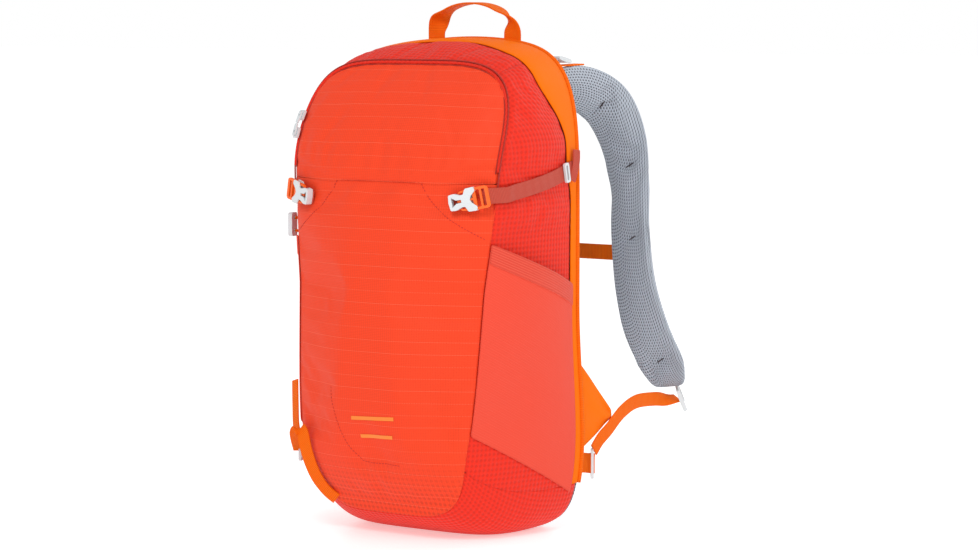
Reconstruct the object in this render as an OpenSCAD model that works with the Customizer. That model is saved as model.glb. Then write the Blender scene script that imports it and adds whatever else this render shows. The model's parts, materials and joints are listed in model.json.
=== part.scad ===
// Hiking daypack: a zipped bag with a suspended back mesh, two side pockets,
// compression straps, a padded harness and a tool loop. Millimetres, +Z up.
// The bag stands on z = 0, its outer face looks along -Y, and the harness is on the +Y side.

/* [Bag] */
// Height of the bag without its haul loop
body_h = 491; // [481:1:500]
// Width of the back, across the edge band
body_w = 252; // [246:1:256]
// Width of the front face at mid height
front_w = 224; // [218:1:230]
// Distance from the bag's middle to the back mesh
back_y = 75; // [70:1:80]
// How far the front face swells out past its seam
front_swell = 31; // [20:1:36]
// How far each side swells out past a straight line
side_swell = 7; // [4:1:9]
// Thickness of the quilted fabric walls
wall = 2.4; // [2:0.1:3]

/* [Opening] */
// Height of the fold that the lid turns on
fold_z = 354; // [350:1:360]
// Height of the top of the zip
zip_top = 471; // [466:1:474]
// Width of the zip tape that shows on each side
tape_w = 7; // [5:0.5:9]

/* [Straps] */
// Width of the compression and tool webbing
web_w = 17; // [15:1:20]
// Thickness of all webbing
web_t = 1.6; // [1.2:0.1:2]
// Width of each shoulder pad
pad_w = 56; // [50:1:60]
// Thickness of each shoulder pad
pad_t = 13; // [10:1:14]
// Width of the haul loop's webbing
haul_w = 20; // [18:1:24]

/* [Hidden] */

mid_z = body_h * 0.506;      // height at which the outlines are widest
front_low = 24;              // lowest point of the front seam
front_taper = 0.0011;        // widening of the front face for each millimetre of height above mid_z
low_taper = 0.0004;          // the same, below mid_z
crown = 18;                  // how far the top edge of the back falls away at its corners
base_flare = 0.06;           // extra width of the back near the base, as a share
seam_lean = 0.075;           // how far the front seam moves back for each millimetre of height
seam_y0 = -78;               // front seam's place at 100 mm up
lid_gap = 1.2;               // clear gap around the lid, where the zip's coil runs
cloth = 1.2;                 // thickness of a single layer of sewn-on cloth

n_front = 4.6;               // squareness of the front outline

orange = "darkorange";
red = "orangered";
pale = "gainsboro";

// ---------- small helpers ----------
function mix(a, b, t) = a + (b - a) * t;
function smooth(lo, hi, v) = let (s = max(0, min(1, (v - lo) / (hi - lo)))) s * s * (3 - 2 * s);
function unit(v) = v / norm(v);
function steps(lo, hi, n) = [for (i = [0 : n]) mix(lo, hi, i / n)];

// Catmull-Rom curve through a list of points, with n stretches between neighbours.
function knot(p, i) = p[max(0, min(len(p) - 1, i))];
function curve(p, n) =
    concat([for (i = [0 : len(p) - 2], k = [0 : n - 1])
        let (t = k / n, a = knot(p, i - 1), b = p[i], c = p[i + 1], d = knot(p, i + 2))
        0.5 * (2 * b + (c - a) * t + (2 * a - 5 * b + 4 * c - d) * t * t
               + (3 * b - a - 3 * c + d) * t * t * t)],
        [p[len(p) - 1]]);

// Builds its children in a frame whose X runs along x and whose Z is nearest to z.
module at(o, x, z) {
    ex = unit(x);
    ey = unit(cross(z, ex));
    ez = cross(ex, ey);
    multmatrix([[ex.x, ey.x, ez.x, o.x], [ex.y, ey.y, ez.y, o.y], [ex.z, ey.z, ez.z, o.z]]) children();
}

// ---------- solids from grids and paths ----------
// Sheet of cloth or foam that follows the surface f(u, v), from lo to hi along its normal.
function normal_of(f, u, v, du, dv) = unit(cross(f(u + du, v) - f(u - du, v), f(u, v + dv)
        - f(u, v - dv)));
module sheet(f, us, vs, lo, hi, du = 0.5, dv = 0.01) {
    ul = [for (u = us) u];
    nu = len(ul);
    nv = len(vs);
    grid = [for (off = [hi, lo], u = ul, v = vs) f(u, v) + off * normal_of(f, u, v, du, dv)];
    n = nu * nv;
    function at_(i, j, k) = k * n + i * nv + j;
    faces = concat(
        [for (i = [0 : nu - 2], j = [0 : nv - 2]) each [
            [at_(i, j, 0), at_(i, j + 1, 0), at_(i + 1, j + 1, 0)],
            [at_(i, j, 0), at_(i + 1, j + 1, 0), at_(i + 1, j, 0)],
            [at_(i, j, 1), at_(i + 1, j + 1, 1), at_(i, j + 1, 1)],
            [at_(i, j, 1), at_(i + 1, j, 1), at_(i + 1, j + 1, 1)]]],
        [for (i = [0 : nu - 2]) each [
            [at_(i, 0, 0), at_(i + 1, 0, 0), at_(i + 1, 0, 1)],
            [at_(i, 0, 0), at_(i + 1, 0, 1), at_(i, 0, 1)],
            [at_(i, nv - 1, 0), at_(i + 1, nv - 1, 1), at_(i + 1, nv - 1, 0)],
            [at_(i, nv - 1, 0), at_(i, nv - 1, 1), at_(i + 1, nv - 1, 1)]]],
        [for (j = [0 : nv - 2]) each [
            [at_(0, j, 0), at_(0, j, 1), at_(0, j + 1, 1)],
            [at_(0, j, 0), at_(0, j + 1, 1), at_(0, j + 1, 0)],
            [at_(nu - 1, j, 0), at_(nu - 1, j + 1, 1), at_(nu - 1, j, 1)],
            [at_(nu - 1, j, 0), at_(nu - 1, j + 1, 0), at_(nu - 1, j + 1, 1)]]]);
    polyhedron(grid, faces);
}

// Joins rings of points, each with the same count, into one closed solid.
module loft(rings, closed = false) {
    m = len(rings[0]);
    n = len(rings);
    last = closed ? n - 1 : n - 2;
    sides = [for (i = [0 : last], j = [0 : m - 1]) let (i2 = (i + 1) % n, j2 = (j + 1) % m) each [
        [i * m + j, i2 * m + j2, i * m + j2], [i * m + j, i2 * m + j, i2 * m + j2]]];
    caps = closed ? [] : [[for (j = [0 : m - 1]) j], [for (j = [m - 1 : -1 : 0]) (n - 1) * m + j]];
    polyhedron([for (r = rings) each r], concat(sides, caps));
}
function heading(p, i) = unit(knot(p, i + 1) - knot(p, i - 1));

// Flat webbing along a path. across gives the direction of its width at each point.
function web_rings(p, across, w, t) = [for (i = [0 : len(p) - 1])
    let (h = heading(p, i), n = unit(cross(h, across[i])), a = cross(n, h))
    [p[i] + a * w / 2 + n * t / 2, p[i] - a * w / 2 + n * t / 2,
     p[i] - a * w / 2 - n * t / 2, p[i] + a * w / 2 - n * t / 2]];
module webbing(p, across, w, t = web_t) loft(web_rings(p, across, w, t));

// Padded strap: an oval section of width w and thickness t.
function pad_ring(c, h, across, w, t) = let (n = unit(cross(h, across)), a = cross(n, h))
    [for (k = [0 : 13]) let (q = k * 360 / 14, cq = cos(q), sq = sin(q))
        c + a * w / 2 * sign(cq) * pow(abs(cq), 0.6) + n * t / 2 * sign(sq) * pow(abs(sq), 0.6)];

// Round rod or cord along a path.
function rod_ring(c, h, d, sides) = let (ref = abs(h.z) > 0.9 ? [0, 1, 0] : [0, 0, 1],
    a = unit(cross(ref, h)), b = cross(h, a))
    [for (k = [0 : sides - 1]) let (q = k * 360 / sides) c + d / 2 * (a * cos(q) + b * sin(q))];
module rod(p, d, sides = 8) loft([for (i = [0 : len(p) - 1]) rod_ring(p[i], heading(p, i), d, sides)]);

// ---------- the bag's form ----------
// Superelliptic outline at angle a: 0 is the right side, 90 the top and -90 the bottom.
function outline(a, half_w, up, down, n_up, n_down) =
    let (n = sin(a) >= 0 ? n_up : n_down, h = sin(a) >= 0 ? up : down,
         k = pow(pow(abs(cos(a)), n) + pow(abs(sin(a)), n), -1 / n))
    [half_w * k * cos(a), mid_z + h * k * sin(a)];
function back_outline(a, inset = 0) =
    let (p = outline(a, body_w / 2 - inset, body_h - mid_z - inset, mid_z - inset, 6, 6.5),
         edge = p.x / (body_w / 2))
    [p.x * (1 + base_flare * (1 - smooth(70, 230, p.y))),
     p.y - crown * edge * edge * smooth(mid_z, body_h, p.y)];
function front_widen(z) = 1 + (z > mid_z ? front_taper : low_taper) * (z - mid_z);
function front_outline(a) =
    let (p = outline(a, front_w / 2, zip_top - mid_z, mid_z - front_low, n_front, n_front))
    [p.x * front_widen(p.y), p.y];

// Depth of the front seam at height z: it leans back, more so near the top, and tucks in at the base.
function seam_y(z) = seam_y0 + seam_lean * (z - 100) + 26 * smooth(360, 478, z)
    + 20 * (1 - smooth(front_low - 12, 100, z));

// Gusset that runs round the bag: t is 0 at the back edge and 1 at the front seam.
function gusset(a, t) =
    let (b = back_outline(a), f = front_outline(a), s = sin(180 * max(0, min(1, t))),
         drop = sin(a) >= 0 ? pow(max(0, t), 1.6) : pow(max(0, t), 4),
         x = mix(b.x, f.x, t) + side_swell * s * cos(a),
         z = mix(b.y, f.y, drop) + 3.5 * s * sin(a))
    [x, mix(back_y, seam_y(f.y), t), max(0, z)];

// Angle on the right side of the gusset at height z and depth t, found by halving.
function angle_at(z, t, lo = -89, hi = 89, n = 16) = let (m = (lo + hi) / 2)
    n == 0 ? m : gusset(m, t).z < z ? angle_at(z, t, m, hi, n - 1) : angle_at(z, t, lo, m, n - 1);

// Front face at height z: s runs from -1 on the left seam to 1 on the right seam.
function front_half_width(z) =
    let (h = z >= mid_z ? zip_top - mid_z : mid_z - front_low, q = min(0.9995, abs(z - mid_z) / h))
    front_w / 2 * pow(1 - pow(q, n_front), 1 / n_front) * front_widen(z);
function face_reach(x, z) =
    let (h = z >= mid_z ? zip_top - mid_z : mid_z - front_low, w = front_w / 2 * front_widen(z))
    min(1, pow(pow(abs(x) / w, n_front) + pow(abs(z - mid_z) / h, n_front), 1 / n_front));
function face_y(x, z) = seam_y(z) - front_swell * (1 - pow(face_reach(x, z), 2.4));
function front_face(s, z) = let (x = s * front_half_width(z)) [x, face_y(x, z), z];
hinge_y = face_y(0, fold_z);

// Depth of the orange edge band, wide over the top and narrow down the sides.
function band_depth(x, z) = 12 + 9 * smooth(330, 372, z)
    + 39 * smooth(385, 455, z) * (1 - 0.4 * (1 - smooth(20, 80, abs(x))));
function band_t(a) = let (p = back_outline(a)) band_depth(p.x, p.y)
        / (back_y - seam_y(front_outline(a).y));

// ---------- bag panels ----------
front_f = function (s, z) front_face(s, z);
gusset_f = function (a, t) gusset(a, t);
side_low = -40;     // gusset angle of the side panel's lower seam
side_high = 52;     // gusset angle of the side panel's upper seam
seam_t = 0.972;     // depth at which the gusset's cloth stops, short of the front's own thickness
band_gap = 0.008;   // gap between the edge band and the cloth in front of it
base_t = 0.022;     // depth at which the base's cloth starts, clear of the back mesh

module front_panel() color(red)
    sheet(front_f, steps(-1, 1, 14), concat([front_low + 1.5, front_low + 6, front_low + 16],
          steps(front_low + 34, fold_z - 1, 9)), -wall, 0, 0.01, 1);

module side_panel() color(red)
    sheet(function (a, v) gusset(a, mix(band_t(a) + band_gap, seam_t, v)), [side_low : 4 : side_high],
            steps(0, 1, 8), -wall, 0);

module top_gusset() color(red)
    sheet(function (a, v) gusset(a, mix(band_t(a) + band_gap, seam_t, v)),
            [side_high : 4 : 180 - side_high], steps(0, 1, 6), -wall, 0);

module bottom_panel() color(red)
    sheet(gusset_f, [180 - side_low : 4 : 360 + side_low], steps(base_t, seam_t, 9), -wall, 0);

// Wall between the load and the ventilated gap, hollowed away from the mesh.
back_wall_hollow = 16;
function wall_y(x, z) = back_y - 14 - back_wall_hollow * (1 - pow(abs(x) / (body_w / 2), 2))
    * smooth(0, 90, z) * (1 - smooth(body_h - 120, body_h, z));
function edge_angle(z, inset, lo = -89.9, hi = 89.9, n = 16) = let (m = (lo + hi) / 2)
    n == 0 ? m : back_outline(m, inset).y < z ? edge_angle(z, inset, m, hi, n - 1)
            : edge_angle(z, inset, lo, m, n - 1);
function back_half_width(z, inset) = back_outline(edge_angle(z, inset), inset).x;
module back_wall() color("dimgray")
    sheet(function (s, z) let (x = s * back_half_width(z, wall + 1.2)) [x, wall_y(x, z), z],
          steps(-1, 1, 10), concat([4.2, 9, 20, 40], steps(65, 430, 8), [448, 462, 472, 478]), -6, 0,
                  0.01, 1);

// Orange band that joins the bag to the back mesh and hides the frame rod.
band_low = side_low;
module edge_band() color(orange)
    sheet(function (a, v) gusset(a, v * band_t(a)), [band_low : 4 : 180 - band_low], steps(0, 1, 4),
            -cloth, 0.2);

// Sprung alloy rod that keeps the mesh in tension, inside the band's back edge.
rod_d = 4;
module frame_rod() color("silver")
    rod([for (a = steps(band_low + 3, 177 - band_low, 52)) let (p = back_outline(a, 5.2))
            [p.x, back_y - 4, p.y]], rod_d);

// Tensioned back mesh.
mesh_bow = 3;
module back_mesh() color("silver")
    sheet(function (s, z) let (x = s * back_half_width(z, 1.5)) [x, back_y - mesh_bow * (1 - s * s), z],
          steps(-1, 1, 8), concat([3, 8, 18, 34], steps(60, 420, 6), [442, 460, 472, 480]), -0.8, 0.8,
                  0.01, 1);

// Foam pad across the small of the back.
module lumbar_pad() color("slategray") {
    z0 = 62;
    z1 = 168;
    sheet(function (s, z) let (x = s * 92) [x, back_y - mesh_bow * (1 - pow(x / 118, 2)) + 7.2, z],
          steps(-1, 1, 10), steps(z0, z1, 5), -5, 5 , 0.01, 1);
}

// Stretch pocket: lies over the side from its slanting mouth to the base seam.
pocket_gap = 9;
function pocket_top(v) = mix(248, 296, v);
function pocket_low(v) = mix(40, 110, v);
pocket_f = function (h, v) let (z = mix(pocket_low(v), pocket_top(v), h), t = mix(0.075, 0.995, v),
    p = gusset(angle_at(z, t), t)) p;
// The cloth stands off the side, most at its mouth, so that a bottle can go in.
function pocket_off(h, v) = 1.2 + pocket_gap * smooth(0, 0.75, h) * pow(sin(180 * v), 0.7);
module side_pocket() color("tomato")
    sheet(function (h, v) pocket_f(h, v) + pocket_off(h, v) * normal_of(pocket_f, h, v, 0.01, 0.005),
          steps(0, 1, 8), steps(0.02, 0.98, 8), 0, cloth, 0.01, 0.005);

// Three-cornered wing that carries the lower end of the shoulder strap.
wing_tip = [124, 142, 108];
module wing() color(orange) {
    top_in = [122, back_y + 1.2, 176];
    low_in = [124, back_y + 1.2, 76];
    n = unit(cross(low_in - top_in, wing_tip - top_in));
    loft([[for (p = [top_in, low_in, wing_tip]) p + n * cloth],
            [for (p = [top_in, low_in, wing_tip]) p - n * cloth]]);
}

// ---------- zip, lid and pulls ----------
zip_a0 = 24;        // gusset angle of each end of the zip
module zip_tape_bag() color("firebrick")
    sheet(function (a, v) gusset(a, seam_t - (1 - v) * tape_w / 120), [zip_a0 : 4 : 180 - zip_a0],
            [0, 1], 0.5, 1.4);

module lid_panel() color(red)
    sheet(function (s, z) let (x = s * (front_half_width(z) - lid_gap)) [x, face_y(x, z), z],
          steps(-1, 1, 14), concat(steps(fold_z + 0.6, 440, 6), [452, 461, zip_top - 5, zip_top - 1.8]),
                  -wall, 0, 0.01, 0.5);

// A point of the lid's rim, moved in from its edge by m millimetres, and off its face by off.
function rim(a, m, off) =
    let (p = front_outline(a), k = 1 - (m + lid_gap) / norm([p.x, p.y - mid_z]), x = p.x * k, z =
            mid_z + (p.y - mid_z) * k,
         q = [x, face_y(x, z), z], n = face_normal(x, z)) q + n * off;
function face_normal(x, z) = unit(cross([2, face_y(x + 1, z) - face_y(x - 1, z), 0],
        [0, face_y(x, z + 1) - face_y(x, z - 1), 2]));
module zip_tape_lid() color("firebrick")
    sheet(function (a, v) rim(a, 1 + v * (tape_w - 1), 1.3), [180 - zip_a0 - 4 : -4 : zip_a0 + 4],
            [0, 1], -0.4, 0.5, 0.5, 0.1);

// Two sliders meet high on the left shoulder of the zip.
slider_a = [141.2, 145];
function slider_at(k) = rim(slider_a[k], 2.2, 4.4);
function slider_run(k) = unit(rim(slider_a[k] - 1.5, 2.2, 4.4) - rim(slider_a[k] + 1.5, 2.2, 4.4));
function slider_up(k) = let (p = rim(slider_a[k], 2.2, 0)) unit(slider_at(k) - p);
pull_pin = [2.2, 0, 2.6];
module zip_slider(k) color(pale) at(slider_at(k), (k == 0 ? 1 : -1) * slider_run(k), slider_up(k))
        difference() {
    union() {
        linear_extrude(2.6, center = true) offset(1) square([8.5, 6], center = true);
        translate([2.2, 0, 1]) rotate([90, 0, 0]) cylinder(d = 6, h = 2.4, center = true, $fn = 32);
    }
    translate(pull_pin) rotate([90, 0, 0]) cylinder(d = 2.2, h = 8, center = true, $fn = 32);
}
module zip_pull(k) color(pale) at(slider_at(k), (k == 0 ? 1 : -1) * slider_run(k), slider_up(k)) {
    translate(pull_pin) rotate([90, 0, 0]) cylinder(d = 2, h = 5.4, center = true, $fn = 32);
    for (side = [-1, 1])
        translate([pull_pin.x - 4, side * 2.05, pull_pin.z]) cube([9, 1.2, 1.8], center = true);
    translate([-5.4, 0, pull_pin.z]) linear_extrude(1.8, center = true) offset(1.2)
            square([5, 2.6], center = true);
}

// ---------- hardware ----------
// Socket of a side-release buckle: x runs towards the tongue.
module socket_shape() offset(1.2) offset(-1.2) difference() {
    polygon([[-18, -8.5], [-19, 0], [-18, 8.5], [-12, 9], [-5, 6.4], [-1.5, 6.6], [1.5, 12.4],
            [11, 12.8], [12, 8.5],
             [6.5, 3.6], [5, 0], [6.5, -3.6], [12, -8.5], [11, -12.8], [1.5, -12.4], [-1.5, -6.6],
                     [-5, -6.4], [-12, -9]]);
    polygon([[-15.4, -5.4], [-15.4, 5.4], [-10.6, 1.8], [-4.6, 1.5], [-4.6, -1.5], [-10.6, -1.8]]);
}
module socket() {
    for (side = [-1, 1]) translate([0, 0, side * 2.7]) linear_extrude(1.6, center = true) socket_shape();
    linear_extrude(4, center = true) intersection() {
        socket_shape();
        union() {
            translate([-17.5, 0]) square([4, 40], center = true);
            for (side = [-1, 1]) translate([-5, side * 4.9]) square([12, 2.4], center = true);
        }
    }
}
// Tongue of the buckle, with its two prongs and its centre guide.
module tongue() difference() {
    linear_extrude(2.8, center = true) {
        difference() {
            offset(3.5) translate([17, 0]) square([11, 17], center = true);
            offset(0.8) translate([14, 0]) square([2.8, 17], center = true);
            offset(0.8) translate([20.4, 0]) square([2.2, 17], center = true);
        }
        translate([0.5, 0]) square([20, 2.4], center = true);
        for (side = [-1, 1]) mirror([0, side < 0 ? 1 : 0]) offset(0.5) offset(-0.5)
            polygon([[9.5, 7.2], [9.5, 10.4], [3, 10.8], [-1, 11.2], [-6, 10.2], [-8.6, 7.9],
                    [-7.4, 7.9], [-3.6, 8.8], [2, 8]]);
    }
}
// Ladder lock: a frame with two bars and a raised thumb tab.
module ladder_lock(w) {
    for (side = [-1, 1]) translate([0, side * (w / 2 + 2.2), 0]) rotate([90, 0, 0])
        linear_extrude(2.6, center = true) offset(1) polygon([[-10, -1], [-10, 1], [0, 3], [9, 4.4],
                [13, 3.6], [9, 2.4], [0, 0.4]]);
    for (x = [-9, 0]) translate([x, 0, x == 0 ? 1.6 : 0]) rotate([90, 0, 0])
            cylinder(d = 3, h = w + 5, center = true, $fn = 24);
    translate([11, 0, 4]) rotate([90, 0, 0]) linear_extrude(w + 6.9, center = true) offset(0.8)
            square([4, 1.4], center = true);
}
// Three-bar slider.
module three_bar(w) {
    difference() {
        linear_extrude(2.6, center = true) difference() {
            offset(2) square([w * 0.62, w + 2], center = true);
            for (x = [-1, 1]) translate([x * w * 0.19, 0]) offset(0.6)
                    square([w * 0.15, w - 1], center = true);
        }
    }
}

// ---------- compression straps ----------
clip_at = [101, -79.5, 338.5];
clip_size = 0.9;            // buckle's scale against its full 20 mm webbing size
clip_dir = [0.93, 0.32, 0.20];
clip_up = [0.32, -0.93, 0];
module clip_socket() color(pale) at(clip_at, clip_dir, clip_up) scale(clip_size) socket();
module clip_tongue() color(orange) at(clip_at, clip_dir, clip_up) scale(clip_size) tongue();
// Short doubled web that holds the socket to the front panel.
module clip_anchor() color(red) at(clip_at, clip_dir, clip_up) {
    translate([-9, 0, -4.2]) cube([14, 10, 1.6], center = true);
}
function side_point(z, t, off) = let (a = angle_at(z, t)) gusset(a, t)
        + off * normal_of(gusset_f, a, t, 0.5, 0.01);
clip_x = unit(clip_dir);
side_web_w = 15;
function web_path() = concat(
    [for (d = [15.5, 19, 23.5]) clip_at + clip_x * d - unit(clip_up) * 2.6],
    curve([for (v = [[343.5, 0.93, 4], [345, 0.86, 3.4], [349, 0.66, 2.4], [354, 0.45, 2.4],
                     [359, 0.28, 2.4], [363, 0.15, 2.4]]) side_point(v[0], v[1], v[2])], 2));
function web_across(p) = [for (i = [0 : len(p) - 1]) [0.04, 0.08, -1]];
module compression_web() color("indianred") {
    p = web_path();
    webbing(p, web_across(p), side_web_w);
}
lock_at = side_point(360.5, 0.235, 5.2);
module rear_lock() color(pale) at(lock_at, [-0.04, -1, -0.2], [1, -0.04, 0]) rear_bar();

// Flat keeper that the compression web runs through.
module rear_bar() linear_extrude(2.4, center = true) difference() {
    offset(1.5) square([4, 16.4], center = true);
    offset(0.5) square([1.6, 13.6], center = true);
}

// ---------- haul loop ----------
haul_half = 47;
haul_hinge = body_h + 0.5;
haul_top = 527;
haul_y = back_y + 2;
haul_t = 1.8;
// The webbing lies flat against the back at its ends and turns edge-on over the top.
haul_path = [for (q = steps(180, 0, 18)) [haul_half * cos(q) * (1 + 0.05 * sin(q)), haul_y,
    haul_hinge + 0.4 + (haul_top - haul_hinge - 0.4) * pow(sin(q), 0.85)]];
module haul_loop() color(orange)
    webbing(haul_path, [for (i = [0 : len(haul_path) - 1])
        let (first = i < len(haul_path) / 2, f = min(i, len(haul_path) - 1 - i) / (len(haul_path) - 1),
             q = 90 * smooth(0.02, 0.3, f))
        [first ? cos(q) : -cos(q), sin(q), 0]], haul_w, haul_t);
module haul_tabs() color(orange)
    for (side = [-1, 1])
        translate([side * haul_half, haul_y, haul_hinge - 15.2])
                cube([haul_w, haul_t, 28], center = true);

// ---------- tool loop and shaft keeper, on the left ----------
function left_side(z, t, off) = let (a = angle_at(z, t), p = gusset(a, t), n =
        normal_of(gusset_f, a, t, 0.5, 0.01))
    [-p.x - n.x * off, p.y + n.y * off, p.z];
// The loop hangs down the left corner of the front, a few millimetres off it, and a shaft goes behind it.
function loop_point(x, z, off) = [x, face_y(x, z) - off, z];
ring_at = left_side(78, 0.93, 8);
tool_path = curve([loop_point(-66, 33, 5.5), loop_point(-74, 41, 7), loop_point(-79, 54, 9),
        loop_point(-82, 70, 9.5), loop_point(-85, 86, 9), loop_point(-88, 100, 9.5),
        loop_point(-93, 105, 12), loop_point(-100, 99, 14), ring_at + [-1, -5, 8]], 2);
tail_path = curve([ring_at + [0, 1, 7.5], left_side(102, 0.93, 10), left_side(124, 0.9, 12),
        left_side(148, 0.87, 14)], 3);
module tool_loop() color(orange) {
    webbing(tool_path, [for (i = [0 : len(tool_path) - 1]) [0.95, 0.1, 0.2]], web_w * 0.8);
    webbing(tail_path, [for (p = tail_path) [0.7, -0.3, 0.2]], web_w * 0.7);
}
module tool_slider() color(pale) at(ring_at + [0, 0, -3], [0, 0, 1], [-1, -0.5, 0])
        three_bar(web_w * 0.8);
keeper_at = [-140, -44, 304];
module shaft_keeper() color(pale) at(keeper_at, [0, 0, 1], [-1, -0.25, 0])
    difference() {
        linear_extrude(4.4, center = true) offset(3) square([18, 7], center = true);
        for (x = [-6.5, 6.5]) translate([x, 0, 0]) cylinder(d = 3.8, h = 8, center = true, $fn = 24);
    }
module shaft_cords() color(orange)
    for (z = [-6.5, 6.5])
        rod(curve([left_side(304 + z, 0.7, 1.2), left_side(304 + z * 1.1, 0.72, 6),
                keeper_at + [3, 0.8, z]], 3), 3);

// ---------- harness ----------
pad_knots = [[54, 86, 430], [60, 101, 437], [70, 126, 441], [82, 156, 438], [92, 184, 421],
        [98.5, 203, 385],
             [102, 210, 340], [104, 212, 290], [107, 217, 240], [113, 228, 195], [121, 245, 155],
                     [126, 256, 128]];
// Direction of the strap's width at each knot: it stands on its edge over the shoulder.
pad_turns = [[1, -0.2, 0], [0.85, -0.2, 0.45], [0.62, -0.17, 0.72], [0.6, -0.14, 0.76],
        [0.74, -0.02, 0.64],
             [0.88, -0.1, 0.42], [0.95, -0.19, 0.18], [0.97, -0.21, 0.05], [0.95, -0.15, 0.18],
                     [0.93, -0.07, 0.34],
             [0.93, -0.1, 0.35], [0.95, -0.15, 0.3]];
pad_path = curve(pad_knots, 2);
pad_widths = curve(pad_turns, 2);
function pad_across(i) = unit(pad_widths[i]);
function pad_share(i) = let (f = i / (len(pad_path) - 1)) min(1, 0.74 + 2.2 * f)
        * mix(1, 0.72, smooth(0.9, 1, f));
module shoulder_pad() color("slategray")
    loft([for (i = [0 : len(pad_path) - 1]) pad_ring(pad_path[i], heading(pad_path, i), pad_across(i),
        pad_w * pad_share(i), pad_t * mix(0.6, 1, smooth(0, 0.1, i / (len(pad_path) - 1)))
                * mix(1, 0.7, smooth(0.93, 1, i / (len(pad_path) - 1))))]);
function pad_out(i) = let (h = heading(pad_path, i)) -unit(cross(h, pad_across(i)));
module pad_webbing() color(orange) {
    ids = [7 : len(pad_path) - 1];
    webbing([for (i = ids) pad_path[i] + pad_out(i) * (pad_t / 2 + 1.4)], [for (i = ids) pad_across(i)],
            web_w);
}
pad_end = pad_path[len(pad_path) - 1];
lock_dir = unit([6, 14, -20]);
strap_lock_at = pad_end + lock_dir * 18;
lock_face = [0.8, 0.5, 0.3];
lock_bar = unit(cross(lock_face, -lock_dir));
module strap_lock() color(pale) at(strap_lock_at, -lock_dir, lock_face) ladder_lock(web_w);
lower_path = curve([strap_lock_at + [-2.5, -4, 3], [125, 246, 114], [126, 222, 117], [126.5, 186, 118],
        [127, 158, 110], [127.5, 134, 96], [127, 120, 88], [126.5, 112.8, 84.5]], 3);
module lower_web() color(orange)
    webbing(lower_path, [for (i = [0 : len(lower_path) - 1])
        let (f = i / (len(lower_path) - 1), turned = [0, 0.25, -1])
            mix(lock_bar, turned, smooth(0.05, 0.35, f))], web_w * 0.8);
anchor_at = [127, 103, 64];
module anchor_slider() color(pale) at(anchor_at, [-0.57, 0.82, 0], [0.82, 0.57, 0]) three_bar(web_w + 6);

// ---------- load lifters ----------
lifter_path = curve([[74, back_y + 2.4, 463], [77, 108, 464], [80, 130, 464.5], [83, 145, 465]], 3);
module lifter_web() color(orange) webbing(lifter_path, [for (p = lifter_path) [1, -0.06, 0]],
        web_w * 0.8);
module lifter_lock() color(pale) at([78, 112, 468.4], [0.06, -1, 0], [0, 0, 1]) ladder_lock(web_w * 0.8);

// ---------- sternum strap ----------
sternum_z = 267;
sternum_y = 229;
sternum_w = 16;
rail_x = 94;
module sternum_rail() color(pale) translate([rail_x + 8, sternum_y - 1.6, sternum_z]) rotate([90, 0, 0])
    linear_extrude(2.4, center = true) offset(2) square([18, 20], center = true);
// Web from its buckle half at start to just past the inner edge of the rail.
module sternum_web(start) color(orange)
    translate([start, sternum_y + 0.3, sternum_z - sternum_w / 2])
            cube([rail_x + 1.5 - start, 1.4, sternum_w]);
module sternum_frame() at([0, sternum_y + 1, sternum_z], [1, 0, 0], [0, 1, 0]) scale(0.72) children();
module sternum_socket() color(pale) sternum_frame() socket();
module sternum_tongue() color(orange) sternum_frame() tongue();

// ---------- inside the bag ----------
module hydration_sleeve() color("gray")
    sheet(function (s, z) [s * 86, wall_y(0, z) - 11, z], steps(-1, 1, 6), steps(60, 350, 5), -0.8, 0.8,
            0.01, 1);
module hydration_hook() color("black") translate([0, wall_y(0, 416) - 0.4, 426]) rotate([90, 0, 0])
        difference() {
    union() {
        cylinder(d = 16, h = 3, $fn = 32);
        translate([-4, 0, 0]) cube([8, 20, 3]);
    }
    translate([0, 0, -1]) cylinder(d = 9, h = 5, $fn = 32);
}

module left() mirror([1, 0, 0]) children();

front_panel();
side_panel();  // side_panel_right
left() side_panel();  // side_panel_left
top_gusset();
bottom_panel();
back_wall();
edge_band();
frame_rod();
back_mesh();
lumbar_pad();
side_pocket();  // side_pocket_right
left() side_pocket();  // side_pocket_left
wing();  // wing_right
left() wing();  // wing_left
zip_tape_bag();
hydration_sleeve();
hydration_hook();
lid_panel();
zip_tape_lid();
zip_slider(0);  // zip_slider_upper
zip_slider(1);  // zip_slider_lower
zip_pull(0);  // zip_pull_upper
zip_pull(1);  // zip_pull_lower
haul_tabs();
haul_loop();
clip_socket();  // clip_socket_right
left() clip_socket();  // clip_socket_left
clip_tongue();  // clip_tongue_right
left() clip_tongue();  // clip_tongue_left
clip_anchor();  // clip_anchor_right
left() clip_anchor();  // clip_anchor_left
compression_web();  // compression_web_right
left() compression_web();  // compression_web_left
rear_lock();  // rear_lock_right
left() rear_lock();  // rear_lock_left
tool_loop();
tool_slider();
shaft_keeper();
shaft_cords();
shoulder_pad();  // shoulder_pad_right
left() shoulder_pad();  // shoulder_pad_left
pad_webbing();  // pad_webbing_right
left() pad_webbing();  // pad_webbing_left
strap_lock();  // strap_lock_right
left() strap_lock();  // strap_lock_left
lower_web();  // lower_web_right
left() lower_web();  // lower_web_left
anchor_slider();  // anchor_slider_right
left() anchor_slider();  // anchor_slider_left
lifter_web();  // lifter_web_right
left() lifter_web();  // lifter_web_left
lifter_lock();  // lifter_lock_right
left() lifter_lock();  // lifter_lock_left
sternum_web(19.5);  // sternum_web_right
left() sternum_web(14.2);  // sternum_web_left
sternum_socket();
sternum_tongue();
sternum_rail();  // sternum_rail_right
left() sternum_rail();  // sternum_rail_left
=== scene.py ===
# %% [markdown]
# # A hiking daypack
# A daypack is cut cloth over a load: flat panels are sewn along curved seams, and the seams, the webbing and the
# padding give it its form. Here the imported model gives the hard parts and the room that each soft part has. Blender
# makes the cloth, the padding, the webbing and every finish.

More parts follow.
